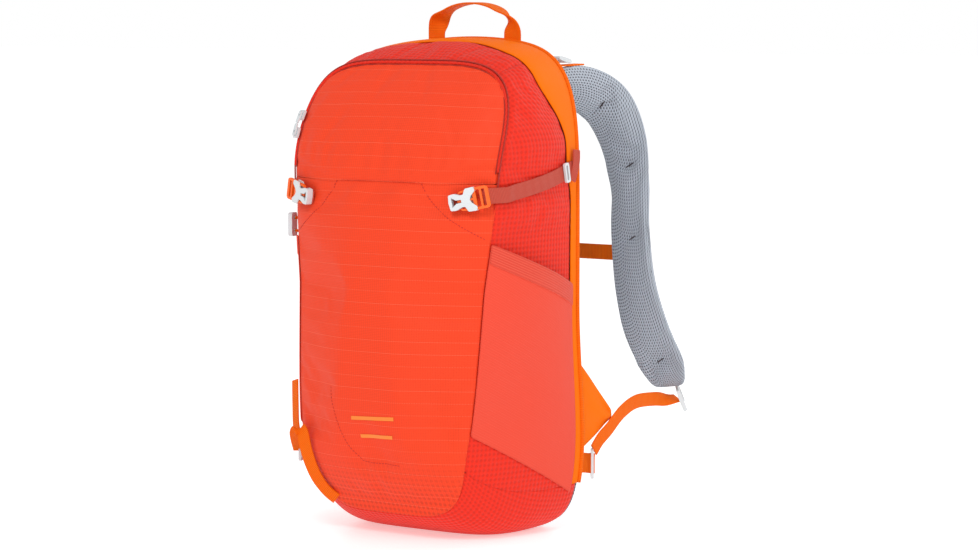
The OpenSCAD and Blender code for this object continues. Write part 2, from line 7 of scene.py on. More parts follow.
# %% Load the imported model
import json
import math
import bmesh
import bpy
from mathutils.bvhtree import BVHTree
from mathutils import Matrix, Vector


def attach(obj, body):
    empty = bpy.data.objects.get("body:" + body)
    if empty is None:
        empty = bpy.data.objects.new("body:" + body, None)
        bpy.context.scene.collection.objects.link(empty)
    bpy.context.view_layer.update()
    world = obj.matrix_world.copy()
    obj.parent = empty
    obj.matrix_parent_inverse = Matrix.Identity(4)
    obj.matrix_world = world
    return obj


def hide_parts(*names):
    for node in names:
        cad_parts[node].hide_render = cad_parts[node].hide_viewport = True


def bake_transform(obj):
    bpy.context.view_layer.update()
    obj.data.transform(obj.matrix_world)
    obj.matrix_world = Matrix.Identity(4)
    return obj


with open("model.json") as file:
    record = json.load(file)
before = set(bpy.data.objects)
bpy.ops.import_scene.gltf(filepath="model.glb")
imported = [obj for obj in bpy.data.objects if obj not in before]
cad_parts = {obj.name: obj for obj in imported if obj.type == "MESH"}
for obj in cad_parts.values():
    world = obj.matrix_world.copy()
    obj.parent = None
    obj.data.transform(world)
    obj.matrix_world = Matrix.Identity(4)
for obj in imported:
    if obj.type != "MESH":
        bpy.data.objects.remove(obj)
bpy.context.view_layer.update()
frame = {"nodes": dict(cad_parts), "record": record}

MM = 0.001
SIDES = (("right", 1), ("left", -1))

# %% [markdown]
# ## Camera, floor and light
# The bag is seen from its front right, from a little above the middle. A long lens three metres away keeps the
# outlines nearly parallel, as in a product picture. Large area lights and a bright world give soft shade.

# %% Camera
view_azimuth = math.radians(35)
view_height = math.radians(5)
camera_distance = 3.0
sensor_width = 36
width_in_view = 0.978
aim = Vector((0.0, 0.0, 0.26))
picture_shift = (0.059, -0.004)
towards = Vector((math.sin(view_azimuth) * math.cos(view_height),
                  -math.cos(view_azimuth) * math.cos(view_height), math.sin(view_height)))
rightward = Vector((math.cos(view_azimuth), math.sin(view_azimuth), 0))
upward = towards.cross(rightward)

camera = bpy.data.objects.new("camera", bpy.data.cameras.new("camera"))
bpy.context.scene.collection.objects.link(camera)
camera.data.lens = sensor_width * camera_distance / width_in_view
camera.data.sensor_width = sensor_width
camera.matrix_world = Matrix.Translation(
    aim + rightward * picture_shift[0] + upward * picture_shift[1] + towards * camera_distance
) @ Matrix((rightward, upward, towards)).transposed().to_4x4()
bpy.context.scene.camera = camera
print("lens:", round(camera.data.lens, 1), "mm, from", camera_distance, "m")

# %% [markdown]
# The floor is one large pale plane. It glows a little, so that it stays white under soft light. The world looks white
# to the camera and lights the bag less strongly.

# %% Floor and lights
def area_light(name, place, target, size, watts):
    lamp = bpy.data.lights.new(name, "AREA")
    lamp.size = size
    lamp.energy = watts
    holder = bpy.data.objects.new(name, lamp)
    bpy.context.scene.collection.objects.link(holder)
    direction = Vector(place) - Vector(target)
    holder.matrix_world = Matrix.Translation(place) @ direction.to_track_quat("Z", "Y").to_matrix().to_4x4()


floor_reach = 30
bm = bmesh.new()
bmesh.ops.create_grid(bm, x_segments=1, y_segments=1, size=floor_reach)
floor_mesh = bpy.data.meshes.new("floor")
bm.to_mesh(floor_mesh)
bm.free()
floor = bpy.data.objects.new("floor", floor_mesh)
bpy.context.scene.collection.objects.link(floor)
floor_finish = bpy.data.materials.new("floor")
floor_finish.use_nodes = True
floor_shader = floor_finish.node_tree.nodes["Principled BSDF"]
for socket, value in (("Base Color", (0.9, 0.9, 0.9, 1)), ("Roughness", 0.35),
                      ("Emission Color", (1, 1, 1, 1)), ("Emission Strength", 0.42)):
    floor_shader.inputs[socket].default_value = value
floor_mesh.materials.append(floor_finish)

light_on_bag, light_in_view = 0.72, 1.0
world = bpy.data.worlds.new("studio")
world.use_nodes = True
world.node_tree.nodes["Background"].inputs["Color"].default_value = (1, 1, 1, 1)
sky = world.node_tree
seen = sky.nodes.new("ShaderNodeLightPath")
strength = sky.nodes.new("ShaderNodeMapRange")
for end, brightness in (("To Min", light_on_bag), ("To Max", light_in_view)):
    strength.inputs[end].default_value = brightness
sky.links.new(seen.outputs["Is Camera Ray"], strength.inputs["Value"])
sky.links.new(strength.outputs["Result"], sky.nodes["Background"].inputs["Strength"])
bpy.context.scene.world = world
bpy.context.scene.view_settings.view_transform = "Standard"
centre = (0, 0, 0.25)
area_light("key", (0.9, -2.2, 2.4), centre, 0.9, 36)
area_light("side", (2.6, -0.2, 1.5), centre, 0.9, 13)
area_light("behind", (0.8, 2.4, 1.6), centre, 1.2, 12)

# %% [markdown]
# ## The bag's form
# The bag has two outlines: a wide rounded one at the back, and a narrower one where the front face starts. A gusset
# joins them, and the front face swells out of its own outline. Each outline is a superellipse, so one number sets
# how square its corners are. All lengths here are millimetres.

# %% Outlines, gusset and front face
body_h, body_w, front_w = 491, 252, 224
back_y, front_swell, side_swell = 75, 31, 7
fold_z, zip_top, front_low = 354, 471, 24
mid_z = body_h * 0.506
n_front = 4.6
wall = 2.4


def mix(a, b, t):
    return a + (b - a) * t


def smooth(lo, hi, v):
    s = max(0.0, min(1.0, (v - lo) / (hi - lo)))
    return s * s * (3 - 2 * s)


def outline(angle, half_w, up, down, n_up, n_down):
    c, s = math.cos(math.radians(angle)), math.sin(math.radians(angle))
    n, h = (n_up, up) if s >= 0 else (n_down, down)
    k = (abs(c) ** n + abs(s) ** n) ** (-1 / n)
    return half_w * k * c, mid_z + h * k * s


def back_outline(angle, inset=0.0):
    x, z = outline(angle, body_w / 2 - inset, body_h - mid_z - inset, mid_z - inset, 6, 6.5)
    edge = x / (body_w / 2)
    return x * (1 + 0.06 * (1 - smooth(70, 230, z))), z - 18 * edge * edge * smooth(mid_z, body_h, z)


def front_taper(z):
    """The front widens upwards, more above its middle than below it."""
    return 1 + (0.0011 if z > mid_z else 0.0004) * (z - mid_z)


def front_outline(angle):
    x, z = outline(angle, front_w / 2, zip_top - mid_z, mid_z - front_low, n_front, n_front)
    return x * front_taper(z), z


def seam_y(z):
    tuck = 20 * (1 - smooth(front_low - 12, 100, z))
    return -78 + 0.075 * (z - 100) + 26 * smooth(360, 478, z) + tuck

# %% [markdown]
# The gusset is the one surface that all side, top and base panels lie on. It goes from the back outline, at t = 0, to
# the front outline, at t = 1, and bulges a little between them.

# %% Gusset
def gusset(angle, t):
    bx, bz = back_outline(angle)
    fx, fz = front_outline(angle)
    s = math.sin(math.pi * max(0.0, min(1.0, t)))
    upper = math.sin(math.radians(angle)) >= 0
    drop = max(0.0, t) ** (1.6 if upper else 4)
    x = mix(bx, fx, t) + side_swell * s * math.cos(math.radians(angle))
    z = mix(bz, fz, drop) + 3.5 * s * math.sin(math.radians(angle))
    return Vector((x, mix(back_y, seam_y(fz), t), max(0.0, z)))


def angle_at(z, t):
    lo, hi = -89.0, 89.0
    for _ in range(18):
        m = (lo + hi) / 2
        if gusset(m, t).z < z:
            lo = m
        else:
            hi = m
    return m

# %% [markdown]
# The front face swells out of its own outline, and the orange band takes a share of the gusset's depth. A panel needs
# its rows evenly spaced, so the angles are found by walking along the curve.

# %% Front face, band and even rows
def face_y(x, z):
    h = zip_top - mid_z if z >= mid_z else mid_z - front_low
    w = front_w / 2 * front_taper(z)
    reach = min(1.0, ((abs(x) / w) ** n_front + (abs(z - mid_z) / h) ** n_front) ** (1 / n_front))
    return seam_y(z) - front_swell * (1 - reach ** 2.4)


def band_t(angle):
    """Share of the gusset's depth that the orange band takes: wide over the shoulders, narrow down the sides."""
    x, z = back_outline(angle)
    depth = 12 + 9 * smooth(330, 372, z) + 39 * smooth(385, 455, z) * (1 - 0.4 * (1 - smooth(20, 80, abs(x))))
    return depth / (back_y - seam_y(front_outline(angle)[1]))


def even_angles(first, last, count, t=0.5):
    """Gusset angles that cut the stretch from first to last into pieces of the same length."""
    fine = [mix(first, last, i / 400) for i in range(401)]
    run = [0.0]
    for a, b in zip(fine, fine[1:]):
        run.append(run[-1] + (gusset(b, t) - gusset(a, t)).length)
    out, j = [], 0
    for i in range(count + 1):
        want = run[-1] * i / count
        while j < 399 and run[j + 1] < want:
            j += 1
        out.append(mix(fine[j], fine[j + 1], (want - run[j]) / max(1e-9, run[j + 1] - run[j])))
    return out


print("zip's highest point:", [round(c, 1) for c in gusset(90, 1)])

# %% [markdown]
# ## From a grid to a piece of cloth
# A panel starts as Blender's own flat grid. Each of its points has a place across and a place along, and a rule for
# the panel moves it there. The same pass measures the cloth along its threads, so the UV map is in metres and a weave
# keeps its true size on every panel.

# %% Grid patches and pieces
def patch(across, along, place, closed=False):
    """A bmesh grid of across by along cells whose points go to place(u, v), both from 0 to 1."""
    bm = bmesh.new()
    bmesh.ops.create_grid(bm, x_segments=across, y_segments=along, size=1)
    n, m = across, along
    grid = [[None] * (m + 1) for _ in range(n + 1)]
    spot = {}
    for v in bm.verts:
        i, j = round((v.co.x + 1) / 2 * n), round((v.co.y + 1) / 2 * m)
        grid[i][j] = place(i / n, j / m)
        spot[v.index] = (i, j)
    u_run = [[0.0] * (m + 1) for _ in range(n + 1)]
    v_run = [[0.0] * (m + 1) for _ in range(n + 1)]
    for i in range(n + 1):
        for j in range(m + 1):
            if i:
                u_run[i][j] = u_run[i - 1][j] + (grid[i][j] - grid[i - 1][j]).length
            if j:
                v_run[i][j] = v_run[i][j - 1] + (grid[i][j] - grid[i][j - 1]).length
    uv = bm.loops.layers.uv.new("cloth")
    bm.verts.index_update()
    for face in bm.faces:
        face.smooth = True
        for loop in face.loops:
            i, j = spot[loop.vert.index]
            middle = u_run[n // 2][j]
            loop[uv].uv = ((u_run[i][j] - middle) * MM, v_run[i][j] * MM)
    for v in bm.verts:
        i, j = spot[v.index]
        v.co = grid[i][j] * MM
    if closed:
        bmesh.ops.remove_doubles(bm, verts=bm.verts, dist=1e-6)
    return bm

# %% [markdown]
# A solid look needs faces that point outwards, because thickness and light both follow them. The biggest face is
# tested against a direction that is known to lead out of the bag.

# %% Facing outward
def turn_outward(bm, sample):
    """Flips all faces when the biggest one points against sample, the outward direction at its centre."""
    bm.normal_update()
    face = max(bm.faces, key=lambda f: f.calc_area())
    if face.normal.dot(sample(face.calc_center_median())) < 0:
        bmesh.ops.reverse_faces(bm, faces=bm.faces)

# %% [markdown]
# Cloth that is held at its seams fills out between them when the bag is full, and no rule gives that shape well. So
# Cloth runs on a copy of the panel with pressure from inside and a little extra length. The seams stay fixed, and no
# point moves further than a set cap.

# %% Cloth simulation
def settle(bm, held, pressure, growth, cap, frames=16):
    """Runs Cloth on bm, fixed where held(vertex) is true, and moves its points to where they end, by cap at most."""
    bm.verts.index_update()
    bm.verts.ensure_lookup_table()
    mesh = bpy.data.meshes.new("settling")
    bm.to_mesh(mesh)
    draft = bpy.data.objects.new("settling", mesh)
    bpy.context.scene.collection.objects.link(draft)
    fixed = draft.vertex_groups.new(name="held")
    fixed.add([v.index for v in bm.verts if held(v)], 1.0, "REPLACE")
    cloth = draft.modifiers.new("cloth", "CLOTH")
    cloth.collision_settings.use_collision = False
    cloth.settings.vertex_group_mass = "held"
    cloth.settings.quality = 4
    cloth.settings.use_pressure = True
    cloth.settings.uniform_pressure_force = pressure
    cloth.settings.shrink_min = -growth
    cloth.settings.effector_weights.gravity = 0
    for number in range(1, frames + 1):
        bpy.context.scene.frame_set(number)
    settled = draft.evaluated_get(bpy.context.evaluated_depsgraph_get()).data
    most = 0.0
    for v, end in zip(bm.verts, settled.vertices):
        move = end.co - v.co
        most = max(most, move.length)
        v.co += move * (cap / max(cap, move.length))
    bpy.data.objects.remove(draft)
    bpy.data.meshes.remove(mesh)
    bpy.context.scene.frame_set(1)
    print("settled", len(bm.verts), "points, furthest", round(most * 1000, 1), "mm")
    return bm


def on_border(v):
    return v.is_boundary


def away_from_middle(p):
    return Vector((p.x, p.y, (p.z - 0.25) * 0.5))

# %% [markdown]
# A finished bmesh becomes an object that rides on one body of the model. Pieces for the left side are mirror copies,
# and cloth gets its thickness from a modifier.

# %% Pieces, mirror copies and thickness
def piece_from(bm, name, body, finish):
    mesh = bpy.data.meshes.new(name)
    bm.to_mesh(mesh)
    bm.free()
    piece = bpy.data.objects.new(name, mesh)
    bpy.context.scene.collection.objects.link(piece)
    mesh.materials.append(finish)
    if body:
        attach(piece, body)
    return piece


def mirrored(bm):
    """A copy of bm on the other side of the bag."""
    twin = bm.copy()
    bmesh.ops.scale(twin, vec=(-1, 1, 1), verts=twin.verts)
    bmesh.ops.reverse_faces(twin, faces=twin.faces)
    return twin


def on_side(bm, sign):
    """A copy of bm, which is made for the right side, for the side that sign gives."""
    return bm.copy() if sign > 0 else mirrored(bm)


def thicken(piece, thickness, offset=-1.0, levels=1):
    if levels:
        rounder = piece.modifiers.new("rounder", "SUBSURF")
        rounder.levels = levels
        rounder.render_levels = levels
    solid = piece.modifiers.new("thickness", "SOLIDIFY")
    solid.thickness = thickness * MM
    solid.offset = offset
    return piece

# %% [markdown]
# ## Finishes
# Each cloth is a plain colour, a pattern of threads that lifts and darkens it, and a slow change of tone. The pattern
# comes from one node group that reads the cloth's own UV map, so that its threads follow the panel.

# %% Node helpers
def linear(r, g, b):
    """Base colour of a shade given in everyday 0 to 255 numbers."""
    def part(c):
        c /= 255
        return c / 12.92 if c <= 0.04045 else ((c + 0.055) / 1.055) ** 2.4
    return (part(r), part(g), part(b), 1.0)


class Wiring:
    """Places nodes in a tree and joins them."""

    def __init__(self, tree):
        self.tree = tree

    def node(self, kind, **values):
        made = self.tree.nodes.new(kind)
        for key, value in values.items():
            setattr(made, key, value)
        return made

    def put(self, socket, value):
        if isinstance(value, bpy.types.NodeSocket):
            self.tree.links.new(value, socket)
        else:
            socket.default_value = value

    def math(self, operation, a, b=0.0, c=0.0):
        made = self.node("ShaderNodeMath", operation=operation)
        for socket, value in zip(made.inputs, (a, b, c)):
            self.put(socket, value)
        return made.outputs[0]

    def ramp(self, value, lo, hi, out_lo=0.0, out_hi=1.0):
        made = self.node("ShaderNodeMapRange", interpolation_type="SMOOTHSTEP")
        for key, v in (("Value", value), ("From Min", lo), ("From Max", hi), ("To Min", out_lo), ("To Max", out_hi)):
            self.put(made.inputs[key], v)
        return made.outputs["Result"]

    def blend(self, factor, a, b, how="MIX"):
        made = self.node("ShaderNodeMix", data_type="RGBA", blend_type=how)
        self.put(made.inputs[0], factor)
        self.put(made.inputs[6], a)
        self.put(made.inputs[7], b)
        return made.outputs[2]


def node_group(name, inputs, outputs):
    tree = bpy.data.node_groups.new(name, "ShaderNodeTree")
    for label, kind, value in inputs:
        socket = tree.interface.new_socket(name=label, in_out="INPUT", socket_type=kind)
        if value is not None:
            socket.default_value = value
    for label, kind in outputs:
        tree.interface.new_socket(name=label, in_out="OUTPUT", socket_type=kind)
    wires = Wiring(tree)
    return tree, wires, wires.node("NodeGroupInput"), wires.node("NodeGroupOutput")

# %% [markdown]
# Woven cloth shows two things: single strong threads at a regular pitch, and small cells between them. One node group
# makes both as masks, so that every cloth here is the same weave with other numbers.

# %% Thread pattern group
NUMBER, VECTOR, COLOUR = "NodeSocketFloat", "NodeSocketVector", "NodeSocketColor"
threads, w, g_in, g_out = node_group(
    "thread_pattern",
    [("Cloth", VECTOR, None), ("Line Pitch", NUMBER, 0.012), ("Line Width", NUMBER, 0.05),
     ("Cell Pitch", NUMBER, 0.004), ("Cell Stretch", NUMBER, 1.0)],
    [("Lines", NUMBER), ("Cells", NUMBER)])
apart = w.node("ShaderNodeSeparateXYZ")
w.put(apart.inputs[0], g_in.outputs["Cloth"])
along = w.math("DIVIDE", apart.outputs[1], g_in.outputs["Line Pitch"])
near_line = w.math("ABSOLUTE", w.math("SUBTRACT", w.math("FRACT", along), 0.5))
line_lo = w.math("SUBTRACT", 0.5, g_in.outputs["Line Width"])
w.put(g_out.inputs["Lines"], w.ramp(near_line, line_lo, 0.5))
turn = w.math("DIVIDE", 2 * math.pi, g_in.outputs["Cell Pitch"])
u = w.math("MULTIPLY", apart.outputs[0], turn)
v = w.math("MULTIPLY", w.math("MULTIPLY", apart.outputs[1], g_in.outputs["Cell Stretch"]), turn)
both = w.math("MULTIPLY", w.math("SINE", w.math("ADD", u, v)), w.math("SINE", w.math("SUBTRACT", u, v)))
w.put(g_out.inputs["Cells"], w.math("MULTIPLY_ADD", both, 0.5, 0.5))

# %% [markdown]
# Dyed cloth is never quite even. A slow noise in the object's own coordinates moves the colour a little.

# %% Tone group
tone, w, g_in, g_out = node_group(
    "slow_tone", [("Base", COLOUR, None), ("Amount", NUMBER, 0.06), ("Size", NUMBER, 9.0)],
    [("Colour", COLOUR), ("Tone", NUMBER)])
place_node = w.node("ShaderNodeTexCoord")
noise = w.node("ShaderNodeTexNoise")
w.put(noise.inputs["Vector"], place_node.outputs["Object"])
w.put(noise.inputs["Scale"], g_in.outputs["Size"])
noise.inputs["Detail"].default_value = 5
shift = w.math("MULTIPLY", w.math("SUBTRACT", noise.outputs["Fac"], 0.5), g_in.outputs["Amount"])
level = w.math("ADD", w.math("MULTIPLY", shift, 2.0), 1.0)
grey = w.node("ShaderNodeCombineColor")
for socket in grey.inputs[:3]:
    w.put(socket, level)
w.put(g_out.inputs["Colour"], w.blend(1.0, g_in.outputs["Base"], grey.outputs[0], "MULTIPLY"))
w.put(g_out.inputs["Tone"], noise.outputs["Fac"])

# %% [markdown]
# A cloth finish puts the two groups into one material. The strong threads and cells change the colour and stand up in
# the bump, and the front cloth can be painted darker towards its foot in a coarse cell pattern: painted shade where
# the front turns under the bag.

# %% Cloth finish
def cloth_finish(name, colour, line_colour=None, line_pitch=0.012, line_width=0.05, cell=0.004, stretch=1.0,
                 cell_depth=0.12, bump=0.25, roughness=0.62, sheen=0.03, tone_amount=0.05, cell_lift=0.0003,
                 line_share=0.55, crisp=(0.0, 1.0), specular=0.35, painted_shade_below=None):
    """Woven cloth: threads in lines and cells, over a base colour."""
    finish = bpy.data.materials.new(name)
    finish.use_nodes = True
    w = Wiring(finish.node_tree)
    shader = finish.node_tree.nodes["Principled BSDF"]
    uv = w.node("ShaderNodeUVMap", uv_map="cloth")
    pattern = w.node("ShaderNodeGroup", node_tree=threads)
    w.put(pattern.inputs["Cloth"], uv.outputs[0])
    pattern.inputs["Line Pitch"].default_value = line_pitch
    pattern.inputs["Line Width"].default_value = line_width
    pattern.inputs["Cell Pitch"].default_value = cell
    pattern.inputs["Cell Stretch"].default_value = stretch
    slow = w.node("ShaderNodeGroup", node_tree=tone)
    slow.inputs["Base"].default_value = colour
    slow.inputs["Amount"].default_value = tone_amount
    darker = tuple(c * (1 - cell_depth * 2) for c in colour[:3]) + (1.0,)
    celled = w.blend(w.ramp(pattern.outputs["Cells"], crisp[0], crisp[1], 1.0, 0.0), slow.outputs["Colour"], darker)
    # Painted shade: below a given height the cloth is darkened in a coarse cell pattern, where the front turns under.
    if painted_shade_below:
        low = w.node("ShaderNodeSeparateXYZ")
        w.put(low.inputs[0], w.node("ShaderNodeTexCoord").outputs["Object"])
        lowness = w.ramp(low.outputs[2], painted_shade_below[0], painted_shade_below[1], 1.0, 0.0)
        coarse = w.node("ShaderNodeGroup", node_tree=threads)
        w.put(coarse.inputs["Cloth"], uv.outputs[0])
        coarse.inputs["Cell Pitch"].default_value = painted_shade_below[2]
        painted_shade_gaps = w.math("MULTIPLY", lowness, w.ramp(coarse.outputs["Cells"], 0.1, 0.6, 1.0, 0.0))
        celled = w.blend(painted_shade_gaps, celled, tuple(c * 0.72 for c in colour[:3]) + (1.0,))
    if line_colour:
        dashes = w.math("MULTIPLY", pattern.outputs["Lines"], w.ramp(pattern.outputs["Cells"], 0.2, 0.6, 0.25, 1.0))
        celled = w.blend(w.math("MULTIPLY", dashes, line_share), celled, line_colour)
    w.put(shader.inputs["Base Color"], celled)
    height = w.math("ADD", w.math("MULTIPLY", pattern.outputs["Cells"], 1.0),
                    w.math("MULTIPLY", pattern.outputs["Lines"], 0.8 if line_colour else 0.0))
    relief = w.node("ShaderNodeBump")
    relief.inputs["Strength"].default_value = bump
    relief.inputs["Distance"].default_value = cell_lift
    w.put(relief.inputs["Height"], height)
    w.put(shader.inputs["Normal"], relief.outputs[0])
    w.put(shader.inputs["Roughness"], w.ramp(slow.outputs["Tone"], 0.3, 0.7, roughness - 0.05, roughness + 0.05))
    shader.inputs["Sheen Weight"].default_value = sheen
    shader.inputs["Sheen Roughness"].default_value = 0.5
    shader.inputs["Specular IOR Level"].default_value = specular
    return finish

# %% [markdown]
# Each cloth, webbing and thread of the bag is one call. Its numbers are colour, thread pitch, thread width and cell
# size, in metres.

# %% Cloths of this bag
# The ripstop's last tuple darkens the foot of the front in coarse cells, as painted shade where it turns under.
ripstop = cloth_finish("ripstop_cloth", linear(234, 62, 20), linear(255, 128, 96), 0.0118, 0.028, 0.0046, 1.5,
                       0.07, 0.5, line_share=0.4, painted_shade_below=(0.03, 0.1, 0.0105), specular=0.25)
dobby = cloth_finish("dobby_cloth", linear(222, 36, 8), None, cell=0.0105, stretch=1.0, cell_depth=0.09, bump=0.9,
                     cell_lift=0.0008, crisp=(0.1, 0.6), specular=0.25)
stretch_cloth = cloth_finish("stretch_cloth", linear(224, 66, 42), linear(240, 110, 84), 0.0026, 0.25, 0.0016, 0.5,
                             cell_depth=0.04, bump=0.3, roughness=0.7, line_share=0.14)
hem_cloth = cloth_finish("hem_twill", linear(220, 62, 40), linear(245, 120, 92), 0.0024, 0.3, 0.002, 1.0, 0.12, 0.5,
                         line_share=0.4)
orange_cloth = cloth_finish("orange_cloth", linear(244, 112, 0), None, cell=0.0014, cell_depth=0.05, bump=0.25,
                            specular=0.08, sheen=0.0)
orange_web = cloth_finish("orange_webbing", linear(240, 96, 0), linear(255, 150, 30), 0.0016, 0.4, 0.0022, 0.6,
                          0.12, 0.6, line_share=0.35, specular=0.1, sheen=0.0)
brown_web = cloth_finish("brown_webbing", linear(184, 60, 42), linear(214, 104, 84), 0.0016, 0.4, 0.0022, 0.6,
                         0.12, 0.6, line_share=0.4, specular=0.3)
spacer_mesh = cloth_finish("spacer_mesh", linear(176, 183, 194), None, cell=0.0056, stretch=0.8, cell_depth=0.42,
                           bump=1.0, roughness=0.8, cell_lift=0.0009, crisp=(0.12, 0.42))
back_net = cloth_finish("back_net", linear(136, 142, 152), None, cell=0.0045, stretch=0.7, cell_depth=0.42,
                        bump=1.0, roughness=0.8, cell_lift=0.0008, crisp=(0.12, 0.42))
lining = cloth_finish("dark_cloth", linear(96, 100, 106), None, cell=0.0018, cell_depth=0.06, bump=0.2)
zip_tape = cloth_finish("zip_tape", linear(160, 30, 18), linear(196, 60, 40), 0.0014, 0.4, 0.0016, 0.6, 0.1, 0.4)
thread_red = cloth_finish("thread_red", linear(190, 40, 24), None, cell=0.0009, cell_depth=0.1, bump=0.4)
reflective = cloth_finish("reflective_print", linear(240, 128, 36), None, cell=0.0008, cell_depth=0.05, bump=0.2,
                          roughness=0.4)
dark_thread = cloth_finish("dark_thread", linear(60, 44, 46), None, cell=0.0009, cell_depth=0.1, bump=0.4)

# %% [markdown]
# Moulded plastic has a fine spark-eroded grain and slightly lighter, worn edges; only the grain is made here. The
# grain is a small noise in the bump, and it also moves the roughness a little.

# %% Plastic and metal finishes
def moulded_finish(name, colour, roughness=0.42, metallic=0.0, grain=0.00008):
    finish = bpy.data.materials.new(name)
    finish.use_nodes = True
    w = Wiring(finish.node_tree)
    shader = finish.node_tree.nodes["Principled BSDF"]
    slow = w.node("ShaderNodeGroup", node_tree=tone)
    slow.inputs["Base"].default_value = colour
    slow.inputs["Amount"].default_value = 0.04
    slow.inputs["Size"].default_value = 40
    w.put(shader.inputs["Base Color"], slow.outputs["Colour"])
    spots = w.node("ShaderNodeTexNoise")
    w.put(spots.inputs["Vector"], w.node("ShaderNodeTexCoord").outputs["Object"])
    spots.inputs["Scale"].default_value = 2600
    relief = w.node("ShaderNodeBump")
    relief.inputs["Strength"].default_value = 0.5
    relief.inputs["Distance"].default_value = grain
    w.put(relief.inputs["Height"], spots.outputs["Fac"])
    w.put(shader.inputs["Normal"], relief.outputs[0])
    w.put(shader.inputs["Roughness"], w.ramp(slow.outputs["Tone"], 0.3, 0.7, roughness - 0.06, roughness + 0.06))
    shader.inputs["Metallic"].default_value = metallic
    return finish

# %% [markdown]
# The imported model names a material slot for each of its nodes. Nodes whose shape is right keep it, and take their
# finish here.

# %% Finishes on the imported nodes
pale_plastic = moulded_finish("pale_plastic", linear(206, 210, 212))
orange_plastic = moulded_finish("orange_plastic", linear(238, 96, 10))
dark_plastic = moulded_finish("dark_plastic", linear(42, 44, 47))
alloy = moulded_finish("alloy_rod", linear(190, 192, 196), 0.3, 1.0)

finish_of_slot = {"pale_plastic": pale_plastic, "orange_plastic": orange_plastic, "dark_plastic": dark_plastic,
                  "alloy_rod": alloy, "brown_webbing": brown_web, "orange_webbing": orange_web,
                  "dark_cloth": lining, "grey_mesh": spacer_mesh, "zip_coil": zip_tape}
for entry in frame["record"]["subparts"]:
    finish = finish_of_slot.get(entry["material_slot"])
    node_object = frame["nodes"].get(entry["node"])
    if finish and node_object:
        node_object.data.materials.clear()
        node_object.data.materials.append(finish)
print("finishes:", len(bpy.data.materials))

# %% [markdown]
# ## Main panels
# The pack cloth is cut in panels that meet at seams. A seam holds its edges down while the load pushes the cloth
# between them out, so each panel's rule dips a little at its seams. The front is a ripstop cloth. It is one field
# inside a superellipse, so a square grid is drawn out until its border lies on that outline.

# %% Seam dip and front field
seam_dip = 1.3


def dip(distance, width=9.0):
    """How far cloth lies below its full form this near to a seam."""
    return seam_dip * (1 - smooth(0, width, distance))


def face_point(x, z, lift=0.0):
    step = 0.5
    slope_x = (face_y(x + step, z) - face_y(x - step, z)) / (2 * step)
    slope_z = (face_y(x, z + step) - face_y(x, z - step)) / (2 * step)
    normal = Vector((slope_x, -1, slope_z)).normalized()
    return Vector((x, face_y(x, z), z)) + normal * lift


def front_field(p, q):
    """Place on the front face of a point of the square from -1 to 1 both ways."""
    reach = max(abs(p), abs(q), 1e-6)
    k = reach * (abs(p) ** n_front + abs(q) ** n_front + 1e-12) ** (-1 / n_front)
    k = mix(1, k, reach ** 3)
    half_h = zip_top - mid_z if q >= 0 else mid_z - front_low
    z = mid_z + half_h * q * k
    x = front_w / 2 * p * k * front_taper(z)
    return x, z, reach

# %% [markdown]
# The front is two panels. A crease, which rises towards the sides, parts the lid from the panel below, and the two
# buckles pull shallow folds across it.

# %% Crease and tension folds
fold_q = 0.4735


def crease_z(x):
    return fold_z + 14 * smooth(35, 125, abs(x))


def fold_crease(x, z):
    """The upper seam of the front: a long shallow groove that rises to the sides."""
    return 1.3 * math.exp(-((z - crease_z(x)) / 2.0) ** 2)


def tension(x, z):
    """Shallow folds that run from each buckle across the front."""
    pull = 0.0
    for side in (-1, 1):
        dx, dz = (x - side * 97) / 60, (z - 340)
        for lean, width, height in ((0.10, 5.0, 0.9), (-0.16, 6.0, 0.8), (-0.42, 8.0, 0.7)):
            line = dz - lean * 60 * abs(dx)
            pull += height * math.exp(-(line / width) ** 2) * math.exp(-((abs(dx) - 0.5) / 0.45) ** 2)
    return pull

# %% [markdown]
# Both panels are grids on the front field. Their seams, the crease and the patches under the buckles are held, and
# the rest fills out.

# %% Front and lid cloth
def seam_strength(z):
    """The front seam ends in a dart above the base, where the cloth runs on under the bag."""
    return smooth(42, 70, z)


def front_place(u, v):
    x, z, reach = front_field(mix(-1, 1, u), mix(-1, fold_q, v))
    edge = (1 - reach) * front_w / 2
    held = seam_strength(z)
    return face_point(x, z, -dip(edge) * held - fold_crease(x, z) - tension(x, z) + 0.6 * held)


def lid_place(u, v):
    x, z, reach = front_field(mix(-1, 1, u) * 0.989, mix(fold_q, 0.989, v))
    edge = (1 - reach) * front_w / 2
    return face_point(x, z, -dip(edge) - fold_crease(x, z) - tension(x, z) + 0.6)


front_bm = patch(56, 72, front_place)
lid_bm = patch(56, 30, lid_place)
for bm in (front_bm, lid_bm):
    cloth_uv = bm.loops.layers.uv["cloth"]
    for face in bm.faces:
        for loop in face.loops:
            loop[cloth_uv].uv = (loop.vert.co.x, loop.vert.co.z)
    turn_outward(bm, lambda p: Vector((0, -1, 0)))


def front_held(v):
    """Seams, the upper crease and the stitched patches under the buckles don't move."""
    x, z = abs(v.co.x) / MM, v.co.z / MM
    return v.is_boundary or abs(z - crease_z(x)) < 4 or (76 < x and 322 < z < 356) or z < 40


panel_pressure = 2.0
settle(front_bm, front_held, panel_pressure, 0.014, 0.006)
settle(lid_bm, front_held, panel_pressure, 0.014, 0.006)
front_tree = BVHTree.FromBMesh(front_bm)
front_cloth = piece_from(front_bm, "front_cloth", "pack", ripstop)
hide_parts("front_panel")
lid_cloth = piece_from(lid_bm, "lid_cloth", None, ripstop)
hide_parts("lid_panel")
for piece in (front_cloth, lid_cloth):
    thicken(piece, 1.0)

# %% [markdown]
# The sides, the top and the base are a dobby cloth with a raised cell pattern. They are one long gusset on the real
# bag. Here it is cut where the seams are, and each length of it is a grid whose rows are evenly spaced round the bag.

# %% Side, top and base panels
side_low, side_high = -40, 52
seam_t, band_gap = 1.0, 0.004


